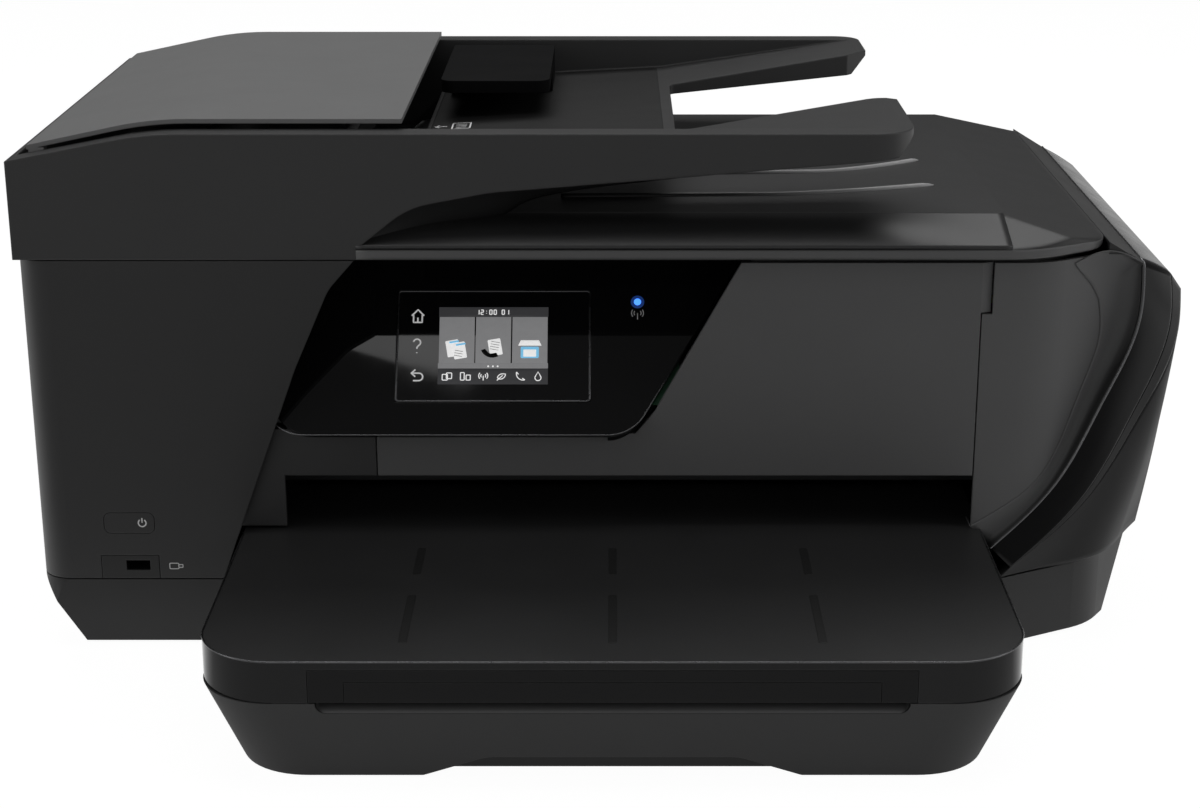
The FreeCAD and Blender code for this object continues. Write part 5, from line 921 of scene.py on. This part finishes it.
class PRINTER_OT_panel(bpy.types.Operator):
    """Touch glass, its frame, the lamp and the signs of the control panel."""

    bl_idname = "printer.panel"
    bl_label = "Control panel"

    lamp_u = 13.3
    lamp_v = 74.5
    waves_v = 68.2
    key_u = -103.8
    rim_corners = ((-184.0, 30.0), (-184.0, 0.0), (10.0, 0.0), (76.0, PANEL_RISE))
    rim_arc = 20
    side_depths = np.array([-3.9, -8.0, -14.0])

    def execute(self, context):
        dress(("touch_glass", "screen_module"), "touch_glass")
        dress(("status_light",), "panel_black")
        lift = millimetres("sign_lift")
        border = [(round_box(-114.2, 18.7, -12.1, 80.6, 1.6), True)]
        add_lines("glass_frame", PANEL, border, 0.55, 0.35, "printer", "bright_edge", "glass", GLASS_LIFT)
        add_lines("touch_signs", PANEL, self.touch_signs(), millimetres("sign_stroke"), lift,
                  "printer", "sign_glow", "glass", GLASS_LIFT)
        waves = [stroke((self.lamp_u, 64.6), (self.lamp_u, self.waves_v))]
        waves += radio_waves((self.lamp_u, self.waves_v), (1.9, 3.2), 38, 10)
        add_lines("wireless_sign", PANEL, waves, 0.24, lift, "printer", "sign_ink", "gloss")
        rim = round_path(self.rim_corners, (PANEL_CORNER, PANEL_CORNER), self.rim_arc)[1:]
        add_lines("panel_edge", PANEL, [(rim, False)], 0.4, 0.4, "printer", "bright_edge", "gloss", -0.1)
        # The halo is a dim glowing disc round the lens: painted light of the lamp on the panel.
        for name, radius, height, finish_name, slot in (("status_lens", 1.9, 0.35, "blue_lamp", "light"),
                                                        ("status_halo", 3.6, 0.12, "blue_halo", "gloss")):
            lamp = PANEL.tile(ring((self.lamp_u, self.lamp_v), radius), height)
            add_piece(name, *lamp, "printer", finish_name, slot)
        points = PANEL.place(rim[self.rim_arc:])[:, None] + PANEL.out * self.side_depths[:, None]
        add_sheet("panel_side", points, "printer", "shadow_black", "gloss", flip=False)
        return {"FINISHED"}

    def touch_signs(self):
        """Strokes of a house, a question mark and an arrow that turns back."""
        house = [stroke((-107, 66.5), (-103.7, 70), (-100.4, 66.5)),
                 stroke((-106, 67), (-106, 62.8), (-101.4, 62.8), (-101.4, 67)),
                 stroke((-103.7, 63), (-103.7, 65.5))]
        hook = np.concatenate([arc((self.key_u, 51.4), 1.9, 170, -60, 14),
                               line((-102.9, 49.7), (self.key_u, 48.6), (self.key_u, 47.8))])
        dot = stroke((self.key_u, 45.9), (self.key_u, 45.4))
        bow = np.concatenate([line((-106.2, 34.2), (-102.4, 34.2)), arc((-102.4, 32.1), 2.1, 90, -90, 12),
                              line((-102.4, 30), (-105.4, 30))])
        head = stroke((-104.2, 36.2), (-106.4, 34.2), (-104.2, 32.2))
        return house + [(hook, False), dot, (bow, False), head]


def turned(points, centre, degrees):
    """Flat points turned about a centre."""
    angle = math.radians(degrees)
    turn = np.array([[math.cos(angle), math.sin(angle)], [-math.sin(angle), math.cos(angle)]])
    return np.asarray(points, float) @ turn + np.asarray(centre, float)


DIGIT_BARS = {
    "a": ((0, 2), (1, 2)), "b": ((1, 2), (1, 1)), "c": ((1, 1), (1, 0)), "d": ((0, 0), (1, 0)),
    "e": ((0, 0), (0, 1)), "f": ((0, 1), (0, 2)), "g": ((0, 1), (1, 1)),
}
DIGITS = {"0": "abcdef", "1": "bc", "2": "abged"}


def digit_strokes(text, left, low, size, step):
    """Strokes of plain numbers built from seven bars."""
    strokes = []
    for index, sign in enumerate(text):
        start = np.array([left + index * step, low])
        strokes += [stroke(*np.array(DIGIT_BARS[bar]) * size + start, count=3)
                    for bar in DIGITS.get(sign, "")]
        if sign == ":":
            for level in (0.5, 1.5):
                dot = start + np.array([0.5, level]) * size
                strokes.append(stroke(dot - (0, 0.15), dot + (0, 0.15), count=2))
    return strokes


class PRINTER_OT_screen(bpy.types.Operator):
    """Picture on the screen: a clock bar, three tiles with pictures, and a row of small signs."""

    bl_idname = "printer.screen"
    bl_label = "Screen picture"

    left, low, right, high = -92.4, 27.9, -34.2, 71.4
    bar_low, row_high = 65.8, 36.8
    gap = 0.35
    corner = 0.2
    picture_v = 47.5
    sheet_turn = 10
    clock_v = 67.3
    row_v = 32.3

    def tiles(self, name, outlines, finish_name, level):
        """Flat tiles on the glass, at a level of their own."""
        parts = [PANEL.tile(outline, 0.05, GLASS_LIFT + level, 0.05) for outline in outlines]
        add_tiles(name, parts, "printer", finish_name, "screen")

    def box(self, left, low, right, high):
        """Outline of a field of the screen."""
        return round_box(left, low, right, high, self.corner)

    def execute(self, context):
        columns = np.linspace(self.left, self.right, 4)
        bars = [self.box(self.left, self.bar_low, self.right, self.high),
                self.box(self.left, self.low, self.right, self.row_high)]
        self.tiles("screen_bars", bars, "screen_bar", 0.0)
        fields = [self.box(first + self.gap, self.row_high, second - self.gap, self.bar_low)
                  for first, second in zip(columns[:-1], columns[1:])]
        fields.append(self.box(self.left, self.row_high, self.right, self.row_high + 3.0))
        self.tiles("screen_fields", fields, "screen_tile", 0.0)
        self.pictures(*(columns[:-1] + columns[1:]) / 2)
        clock = digit_strokes("12:00", -72.4, self.clock_v, 1.25, 2.3)
        clock += digit_strokes("01", -58.9, self.clock_v, 1.25, 2.3)
        parts = PANEL.lines(clock + self.small_signs(), 0.26, 0.12, GLASS_LIFT + 0.05)
        parts += [PANEL.tile(ring((u, 38.0), 0.5, 12), 0.05, GLASS_LIFT + 0.06, 0.05)
                  for u in (-65.8, -63.3, -60.8)]
        add_tiles("screen_signs", parts, "printer", "screen_white", "screen")
        return {"FINISHED"}

    def pictures(self, copy_u, phone_u, scan_u):
        """Two sheets, a sheet with a handset, and a flat scanner with its lid up."""
        def lean(outline, u, rise):
            return turned(outline, (u, self.picture_v + rise), self.sheet_turn)

        sheet = round_box(-3.4, -4.6, 3.4, 4.6, 0.5)
        stripe = round_box(-2.6, -0.5, 2.6, 0.5, 0.3)
        self.tiles("screen_sheets", [lean(sheet, copy_u - 2.0, 0.6), lean(sheet, phone_u + 1.0, 1.2)],
                   "screen_white", 0.06)
        lid = [(scan_u - 6.2, 49.6), (scan_u + 6.2, 49.6), (scan_u + 4.8, 52.6), (scan_u - 4.8, 52.6)]
        page = round_box(-3.4, 0.0, 3.4, 4.0, 0.3) + (scan_u, 43.4)
        self.tiles("screen_fronts", [lean(sheet, copy_u + 1.5, -0.6), page, lid], "screen_white", 0.14)
        scanner = round_box(-4.8, 0.0, 4.8, 6.4, 0.7) + (scan_u, 42.6)
        self.tiles("screen_blues", [scanner], "screen_blue", 0.08)
        self.tiles("screen_stripes", [lean(stripe, copy_u - 1.4, 4.2), lean(stripe, copy_u + 2.1, 2.8)],
                   "screen_blue", 0.22)
        ear = (phone_u - 0.4, 49.2)
        handset = np.concatenate([arc(ear, 6.4, 200, 300, 16), arc(ear, 4.2, 300, 200, 16)])
        self.tiles("screen_handset", [handset], "shadow_black", 0.22)
        strokes = [stroke((copy_u - 0.9 + shift, level), (copy_u + 3.4 + shift, level - 0.75), count=3)
                   for level, shift in ((47.0, 0.0), (45.6, -0.2), (44.2, -0.5))]
        strokes += [stroke((phone_u - 1.4 + shift, level), (phone_u + 3.2 + shift, level - 0.8), count=3)
                    for level, shift in ((52.0, 0.3), (50.6, 0.0), (49.2, -0.2), (47.8, -0.5))]
        add_lines("screen_lines", PANEL, strokes, 0.14, 0.1,
                  "printer", "screen_bar", "screen", GLASS_LIFT + 0.2)

    def small_signs(self):
        """Bottom row: sheets, pages, radio waves, a leaf, a handset and a drop."""
        v = self.row_v
        sheets, pages, radio, leaf, phone, drop = np.linspace(-87.6, -39.4, 6)
        strokes = [(round_box(sheets - 2.4, v - 2.0, sheets + 0.4, v + 1.2, 0.4), True),
                   (round_box(sheets - 0.2, v - 1.2, sheets + 2.6, v + 2.0, 0.4), True),
                   (round_box(pages - 2.4, v - 2.0, pages - 0.4, v + 2.2, 0.4), True),
                   (round_box(pages + 0.6, v - 2.0, pages + 2.8, v + 0.8, 0.3), True),
                   stroke((radio, v - 2.2), (radio, v + 0.4))]
        strokes += radio_waves((radio, v + 0.4), (1.3, 2.4), 42, 8)
        blade = np.concatenate([arc((leaf + 0.6, v - 1.4), 2.9, 165, 75, 10),
                                arc((leaf - 0.8, v + 1.4), 2.9, 0, -90, 10)])
        drip = np.concatenate([arc((drop, v - 0.7), 1.6, 150, 390, 18), [(drop, v + 2.6)]])
        strokes += [(blade, True), stroke((leaf - 2.4, v - 2.2), (leaf + 0.6, v + 0.6)),
                    (arc((phone + 1.8, v + 1.6), 3.6, 165, 285, 14), False),
                    stroke((phone - 1.7, v + 2.5), (phone - 0.7, v + 1.2)),
                    stroke((phone + 1.4, v - 1.0), (phone + 2.7, v - 1.9)), (drip, True)]
        return strokes


class PRINTER_OT_front_signs(bpy.types.Operator):
    """Power sign on its key, and a sign by the memory socket."""

    bl_idname = "printer.front_signs"
    bl_label = "Front signs"

    key_u = -249.6

    def execute(self, context):
        lift = millimetres("sign_lift")
        power = [(arc((self.key_u, 73.1), 2.05, 125, 415, 28), False),
                 stroke((self.key_u, 73.3), (self.key_u, 75.9))]
        add_lines("power_sign", FACE, power, 0.36, lift, "key", "sign_ink", "shell")
        stick = [(round_box(-236.4, 46.9, -231.6, 50.1, 0.5), True),
                 stroke((-231.6, 47.7), (-229.4, 47.7), (-229.4, 49.3), (-231.6, 49.3))]
        add_lines("memory_sign", FACE, stick, 0.25, lift, "printer", "sign_ink", "shell")
        return {"FINISHED"}


class PRINTER_OT_tray_lines(bpy.types.Operator):
    """Paper lines on the output cover, its bright front edge, and the sill under the tray's lips."""

    bl_idname = "printer.tray_lines"
    bl_label = "Output cover lines"

    line_x = (-99.5, 0.0, 99.5)
    line_runs = ((-220.0, -162.0), (-136.0, -100.0))
    edge_back_y = -79.0
    edge_inset = 0.35
    sill_half = 138.6
    sill_turn = 5.0
    sill_end = 5.6
    sill_depth, sill_height = 8.4, 3.6
    sill_back, sill_drop = 2.3, 6.1

    def execute(self, context):
        half = millimetres("groove_width") / 2
        # The lines are raised dark tiles; their dark colour paints the shade of grooves.
        tiles = [COVER.tile(round_box(x - half, low, x + half, high, 1.2), 0.12, 0.0, 0.5)
                 for x in self.line_x for low, high in self.line_runs]
        add_tiles("cover_lines", tiles, "tray", "groove_black", "gloss", smooth=False)
        self.cove()
        # Painted highlight: a bright bead along the cover's top edge stands in for its reflection.
        reach = COVER_HALF - self.edge_inset
        front = TRAY_FRONT_Y + self.edge_inset
        radius = TRAY_CORNER - self.edge_inset
        edge = np.concatenate([
            line((-reach, self.edge_back_y), (-reach, front + radius), count=20)[:-1],
            arc((-reach + radius, front + radius), radius, 180, 270, 30),
            line((-reach + radius, front), (reach - radius, front), count=40)[1:-1],
            arc((reach - radius, front + radius), radius, 270, 360, 30),
            line((reach, front + radius), (reach, self.edge_back_y), count=20)[1:]])
        half = millimetres("edge_bead")
        add_lines("cover_edge", COVER, [(edge, False)], half, half, "tray", "bright_edge", "gloss", -0.1)
        return {"FINISHED"}

    def cove(self):
        """Sill under the lips, in the fascia's paler colour as painted light where the lips shade it: a
        quarter round from the tray's front up and back, its ends turned up.
        """
        turn = np.linspace(0.0, np.pi / 2, 10)
        inward = np.concatenate([[0.0], self.sill_turn * (1 - np.cos(turn[1:]))])
        upward = np.concatenate([[self.sill_end], self.sill_turn * (1 - np.sin(turn[1:]))])
        x = np.concatenate([inward - self.sill_half, [self.sill_half - self.sill_turn],
                            self.sill_half - self.sill_turn * (1 - np.cos(turn[-2::-1])), [self.sill_half]])
        rise = np.concatenate([upward, [0.0], self.sill_turn * (1 - np.sin(turn[-2::-1])), [self.sill_end]])
        depth = (1 - np.cos(turn)) * self.sill_depth
        height = np.sin(turn) * self.sill_height
        points = grid_points(x[:, None], TRAY_FRONT_Y + self.sill_back + depth[None],
                             BAND_LOW_Z - self.sill_drop + np.maximum(height[None], rise[:, None]))
        # The fascia colour, paler than the tray's, paints light on the shaded sill.
        add_sheet("tray_cove", points, "tray", "fascia", "shell")


class PRINTER_OT_lid_ridges(bpy.types.Operator):
    """Two low paper ridges on the lid that bend back to the right.

    A round crest with a longer slope behind it is carried along each ridge; it runs straight, then back with
    the power 1.5 of the way, and tapers with a root at its right end.
    """

    bl_idname = "printer.lid_ridges"
    bl_label = "Lid ridges"

    # Left end in X, and Y at the left and the right end
    ridges = ((-28.0, -1.0, 26.5), (40.0, 55.0, 91.6))
    right_x = 177.5
    bend_start = 0.55

    def execute(self, context):
        half = millimetres("ridge_half")
        turn = np.linspace(0.0, np.pi, 13)
        across = np.concatenate([-np.cos(turn[:7]), -1.6 * np.cos(turn[7:]), [1.5, -0.9]]) * half
        level = np.concatenate([np.sin(turn), [-0.2, -0.2]])
        along = shares(60)
        bend = np.clip((along - self.bend_start) / (1 - self.bend_start), 0.0, 1.0)
        back = 0.2 * along + 0.8 * bend ** 1.5
        swell = np.minimum(1.0, 1.6 * np.sqrt(np.clip(1.002 - along, 0.0, 1.0) * 12))[:, None]
        parts = []
        for left_x, left_y, right_y in self.ridges:
            x = left_x + (self.right_x - left_x) * along
            y = left_y + (right_y - left_y) * back
            points = grid_points(x[:, None], y[:, None] + across * swell,
                LID_TOP_Z + millimetres("ridge_rise") * swell * level)
            parts.append((points.reshape(-1, 3), tube_faces(*points.shape[:2])))
        # The ridges' finish paints a highlight on their right ends.
        add_piece("lid_ridges", *join(parts), "lid", "ridge_skin", "shell")
        return {"FINISHED"}


class PRINTER_OT_lid_brow(bpy.types.Operator):
    """Rolled front of the lid: from the crease it falls with the cube of the way to the front edge.

    The roll flattens towards the right end, where it meets the lid's straight slope.
    """

    bl_idname = "printer.lid_brow"
    bl_label = "Lid brow"

    left_x = -131.0
    right_x = 204.0
    lip_corners = ((left_x, FRONT_Y), (218.0, FRONT_Y), (LID_RIGHT_X, -53.5), (LID_RIGHT_X, -38.0))
    lip_radii = (60.0, 26.0)
    lip_out, lip_foot = 0.06, 0.3
    lip_bend_x, lip_high, lip_low = 240.0, LID_LIP_Z - 0.15, LID_LIP_Z - 1.5
    lip_wall, brow_wall = 0.8, 2.0
    left_run, right_run = 70.0, 90.0
    left_roll = 0.55
    skin = 0.05

    def execute(self, context):
        x = np.linspace(self.left_x, self.right_x, 90)[:, None]
        way = shares(24)[None]
        left = np.clip((x - self.left_x) / self.left_run, 0.0, 1.0)
        right = np.clip((self.right_x - x) / self.right_run, 0.0, 1.0)
        roll = (self.left_roll + (1 - self.left_roll) * left) * right ** 2 * (3 - 2 * right)
        y = LID_SLOPE_BACK_Y - (LID_SLOPE_BACK_Y - FRONT_Y) * way
        z = LID_TOP_Z - (LID_TOP_Z - LID_LIP_Z) * (way + (way ** 3 - way) * roll) + self.skin
        points = grid_points(x, y, z)
        add_sheet("lid_brow", points, "lid", "lid_skin", "shell", self.brow_wall)
        self.lip()
        return {"FINISHED"}

    def lip(self):
        """Lip under the brow, paler than the lid as painted light on its front face: upright lines along the
        lid's front edge and round its right corner.
        """
        path = round_path(self.lip_corners, self.lip_radii, 16)
        path = np.concatenate([line(path[0], path[1], count=40)[:-1], path[1:]])
        ahead = unit(np.gradient(path, axis=0))
        out = path + np.stack([ahead[:, 1], -ahead[:, 0]], axis=1) * self.lip_out
        top = np.interp(path[:, :1], (self.lip_bend_x, LID_RIGHT_X), (self.lip_high, self.lip_low))
        rise = shares(5)[None]
        low = LID_LOW_Z + self.lip_foot
        points = grid_points(out[:, :1], out[:, 1:], low + (top - low) * rise)
        # The fascia colour, paler than the lid's, paints light on the lid's front face.
        add_sheet("lid_lip", points, "lid", "fascia", "shell", self.lip_wall)


class PRINTER_OT_feeder_signs(bpy.types.Operator):
    """Signs and a dark sheet on the feeder's floor that paints the shade there, and a plate that closes its
    back corner.
    """

    bl_idname = "printer.feeder_signs"
    bl_label = "Feeder signs"

    arrow_v = 58.0
    gusset = ((-123.0, 231.2), (-103.2, 231.2), (-103.2, 247.5), (-108.0, 247.5))

    def execute(self, context):
        v = self.arrow_v
        signs = [(round_box(14.0, v - 8.0, 24.0, v + 8.0, 0.8), True)]
        signs += [stroke((16.0, level), (22.0, level), count=3) for level in (v - 4.0, v, v + 4.0)]
        signs += [stroke((11.0, v), (4.0, v), count=4),
                  stroke((6.6, v + 3.0), (4.0, v), (6.6, v - 3.0), count=4)]
        add_lines("feeder_sign", FEEDER_FLOOR, signs, 0.5, millimetres("sign_lift"),
                  "lid", "sign_ink", "shell", 0.06)
        # Painted shade: a thin dark sheet over the feeder's floor, where the cover shades it; the plate below
        # shares its dark finish.
        shade_sheet = FEEDER_FLOOR.tile(round_box(2.0, -63.0, 132.0, 214.0, 3.0), 0.06, 0.0, 1.0)
        add_piece("feeder_liner", *shade_sheet, "lid", "liner_black", "shell", smooth=False)
        plate = FEEDER_BACK.tile(self.gusset, 2.0)
        add_piece("feeder_gusset", *plate, "lid", "liner_black", "shell", smooth=False)
        return {"FINISHED"}


class PRINTER_OT_rear(bpy.types.Operator):
    """Vent slots, screws, socket signs, inlet pins and door grips on the back."""

    bl_idname = "printer.rear"
    bl_label = "Rear details"

    screws = ((282.0, 56.0), (-282.0, 56.0), (286.0, 196.0), (-284.0, 190.0), (0.0, 56.0), (0.0, 172.0))
    screw_radius, cross_half = 3.4, 1.7
    socket_u, socket_step, socket_v = 225.0, 22.0, 113.0
    dot_step = 2.6
    grip_half, grip_v = 14.0, 141.0
    pin_x = (-258.0, -246.0)
    pin_radius, pin_z, pin_back_y, pin_length = 1.62, 84.5, 220.0, 16.8
    pin_points = 16

    def execute(self, context):
        slot = round_box(-1.5, 0.0, 1.5, 44.0, 1.4)
        slots = [REAR.tile(slot + (u, low), 0.1, 0.0, 0.4)
                 for u in np.linspace(-282.0, -198.0, 13) for low in (70.0, 122.0)]
        add_tiles("rear_vents", slots, "printer", "shadow_black", "shell", smooth=False)
        heads = [REAR.tile(ring(place, self.screw_radius), 0.9, 0.0, 0.8) for place in self.screws]
        add_tiles("rear_screws", heads, "printer", "steel", "steel")
        half = self.cross_half
        crosses = [stroke((u - du, v - dv), (u + du, v + dv), count=3)
                   for u, v in self.screws for du, dv in ((half, 0.0), (0.0, half))]
        add_lines("screw_slots", REAR, crosses, 0.35, 0.15, "printer", "shadow_black", "steel", 0.85)
        lift = millimetres("sign_lift")
        dots = [REAR.tile(ring((self.socket_u - self.socket_step * index + shift, self.socket_v), 0.9, 16),
                          lift, 0.0, 0.2)
                for index in range(3)
                for shift in np.arange(index + 1) * self.dot_step - index * self.dot_step / 2]
        add_tiles("socket_signs", dots, "printer", "sign_ink", "shell")
        grips = [stroke((u - self.grip_half, v), (u + self.grip_half, v), count=4)
                 for u in (-120.0, 120.0) for v in (self.grip_v - 3.2, self.grip_v, self.grip_v + 3.2)]
        add_lines("rear_grips", REAR, grips, 0.7, 0.7, "rear", "grained_shell", "shell")
        self.inlet_pins()
        return {"FINISHED"}

    def inlet_pins(self):
        """Mains pins: circles carried along Y whose radius falls as a quarter circle at the outer end."""
        along = shares(self.pin_points)[:, None]
        end = np.clip(along - 0.85, 0.0, 1.0) / 0.1501
        radius = self.pin_radius * np.sqrt(np.clip(1 - end ** 2, 0.0, 1.0)) + 0.01
        turn = np.linspace(0.0, 2 * np.pi, self.pin_points + 1)[:-1]
        parts = []
        for x in self.pin_x:
            points = grid_points(x + radius * np.cos(turn), self.pin_back_y + self.pin_length * along,
                self.pin_z + radius * np.sin(turn))
            parts.append((points.reshape(-1, 3), tube_faces(*points.shape[:2])))
        add_piece("inlet_pins", *join(parts), "printer", "steel", "steel")


class PRINTER_OT_stage(bpy.types.Operator):
    """Pale floor, soft light all round, softboxes and the camera."""

    bl_idname = "printer.stage"
    bl_label = "Stage"

    floor_half = 30.0
    # How white the camera sees the floor, and the share that is its own white
    seen_level, seen_share = 1.08, 0.9
    # Level of the floor that polished pieces mirror, in front and behind, as shares of the level beside
    mirror_front, mirror_back = 0.34, 0.6
    # Level of the soft light behind and overhead, as shares of the level in front
    sky_back, sky_top = 0.25, 0.24

    def execute(self, context):
        scene = context.scene
        stage = scene.printer_stage
        scene.view_settings.view_transform = "Standard"
        reach = np.array([[-1, -1, 0], [1, -1, 0], [1, 1, 0], [-1, 1, 0]]) * self.floor_half
        mesh = bpy.data.meshes.new("floor")
        mesh.from_pydata(reach.tolist(), [], [[0, 1, 2, 3]])
        mesh.materials.append(self.floor_material(stage))
        floor = bpy.data.objects.new("floor", mesh)
        scene.collection.objects.link(floor)
        scene.world = self.sky(stage)
        self.lamp("rear_softbox", (0.0, 1.0, 1.85), (-30, 0, 0), (2.2, 1.1), stage.rear_lamp)
        self.lamp("front_softbox", (-0.29, -0.87, 1.60), (0, 0, -19.7), (0.32, 0.30), stage.front_lamp)
        self.lamp("top_softbox", (0.1, -0.3, 1.9), (0, 0, 0), (1.8, 0.5), stage.top_lamp)
        self.lamp("left_softbox", (-1.7, -0.5, 0.9), (66, 0, -74), (1.0, 1.0), stage.side_lamp)
        self.lamp("right_softbox", (1.7, -0.3, 0.9), (66, 0, 80), (1.0, 1.0), stage.side_lamp)
        camera = bpy.data.cameras.new("camera")
        camera.lens = stage.lens
        camera.sensor_width = 36.0
        camera.shift_x = stage.shift
        camera.clip_start = 0.05
        eye = bpy.data.objects.new("camera", camera)
        eye.location = stage.eye
        eye.rotation_euler = (stage.pitch, 0, 0)
        scene.collection.objects.link(eye)
        scene.camera = eye
        return {"FINISHED"}

    def lamp(self, name, place, turn, size, power):
        """A rectangular softbox, turned in degrees."""
        data = bpy.data.lights.new(name, "AREA")
        data.shape = "RECTANGLE"
        data.size, data.size_y = size
        data.energy = power
        lamp = bpy.data.objects.new(name, data)
        lamp.location = place
        lamp.rotation_euler = [math.radians(angle) for angle in turn]
        bpy.context.scene.collection.objects.link(lamp)

    def floor_material(self, stage):
        """White floor that keeps its shadow: mostly its own white for the camera, plain paint for light.

        Polished pieces mirror it at a level of its own: low in front, full beside and less behind.
        """
        material, tree, shader = new_material("pale_floor")
        tone = mix_colour(tree, noise(tree, 3.0), paint(stage.floor, 0.99), paint(stage.floor))
        link(tree, tone, shader.inputs["Base Color"])
        shader.inputs["Roughness"].default_value = 0.9
        shader.inputs["Specular IOR Level"].default_value = 0.0
        white = tree.nodes.new("ShaderNodeEmission")
        path = tree.nodes.new("ShaderNodeLightPath")
        share = tree.nodes.new("ShaderNodeMath")
        share.operation = "MULTIPLY"
        share.inputs[1].default_value = self.seen_share
        link(tree, path.outputs["Is Camera Ray"], share.inputs[0])
        before = spread(tree, object_axis(tree, "Y"), self.mirror_front, 1.0, -0.18, -0.09)
        behind = spread(tree, object_axis(tree, "Y"), 1.0, self.mirror_back, 0.1, 0.6)
        level = tree.nodes.new("ShaderNodeMix")
        link(tree, path.outputs["Is Glossy Ray"], level.inputs[0])
        level.inputs[2].default_value = self.seen_level
        link(tree, product(tree, before, behind), level.inputs[3])
        link(tree, level.outputs[0], white.inputs["Strength"])
        shown = product(tree, path.outputs["Is Glossy Ray"], share.outputs[0], "MAXIMUM")
        mixer = tree.nodes.new("ShaderNodeMixShader")
        link(tree, shown, mixer.inputs[0])
        link(tree, shader.outputs[0], mixer.inputs[1])
        link(tree, white.outputs[0], mixer.inputs[2])
        link(tree, mixer.outputs[0], tree.nodes["Material Output"].inputs["Surface"])
        return material

    def sky(self, stage):
        """Soft light all round that falls off overhead; white where the camera sees it."""
        world = bpy.data.worlds.new("studio")
        world.use_nodes = True
        tree = world.node_tree
        coordinates = tree.nodes.new("ShaderNodeTexCoord")
        split = tree.nodes.new("ShaderNodeSeparateXYZ")
        link(tree, coordinates.outputs["Generated"], split.inputs["Vector"])
        around = spread(tree, split.outputs["Y"], stage.sky, stage.sky * self.sky_back, -0.3, 0.6)
        height = spread(tree, split.outputs["Z"], 1.0, self.sky_top, 0.15, 0.65)
        level = product(tree, around, height)
        path = tree.nodes.new("ShaderNodeLightPath")
        strength = tree.nodes.new("ShaderNodeMix")
        link(tree, path.outputs["Is Camera Ray"], strength.inputs[0])
        link(tree, level, strength.inputs[2])
        strength.inputs[3].default_value = 1.0
        ground = tree.nodes["Background"]
        ground.inputs["Color"].default_value = (1, 1, 1, 1)
        link(tree, strength.outputs[0], ground.inputs["Strength"])
        return world


OPERATORS = (
    PRINTER_OT_covers,
    PRINTER_OT_engine,
    PRINTER_OT_trim,
    PRINTER_OT_corner,
    PRINTER_OT_flare,
    PRINTER_OT_scoop,
    PRINTER_OT_panel,
    PRINTER_OT_screen,
    PRINTER_OT_front_signs,
    PRINTER_OT_tray_lines,
    PRINTER_OT_lid_ridges,
    PRINTER_OT_lid_brow,
    PRINTER_OT_feeder_signs,
    PRINTER_OT_rear,
    PRINTER_OT_stage,
)


class PRINTER_PT_dressing(bpy.types.Panel):
    """Shows a button for each step that dresses the printer."""

    bl_label = "Printer"
    bl_space_type = "VIEW_3D"
    bl_region_type = "UI"
    bl_category = "Printer"

    def draw(self, context):
        for operator in OPERATORS:
            self.layout.operator(operator.bl_idname)


GROUPS = (PrinterColours, PrinterSizes, PrinterStage)


def register():
    """Register the classes and hang the values on the scene."""
    for item in GROUPS + OPERATORS + (PRINTER_PT_dressing,):
        bpy.utils.register_class(item)
    bpy.types.Scene.printer_colours = bpy.props.PointerProperty(type=PrinterColours)
    bpy.types.Scene.printer_sizes = bpy.props.PointerProperty(type=PrinterSizes)
    bpy.types.Scene.printer_stage = bpy.props.PointerProperty(type=PrinterStage)


def unregister():
    """Take the values off the scene and unregister the classes."""
    del bpy.types.Scene.printer_stage
    del bpy.types.Scene.printer_sizes
    del bpy.types.Scene.printer_colours
    for item in reversed(GROUPS + OPERATORS + (PRINTER_PT_dressing,)):
        bpy.utils.unregister_class(item)


def main():
    register()
    for operator in OPERATORS:
        family, name = operator.bl_idname.split(".")
        getattr(getattr(bpy.ops, family), name)()


if __name__ == "__main__":
    main()
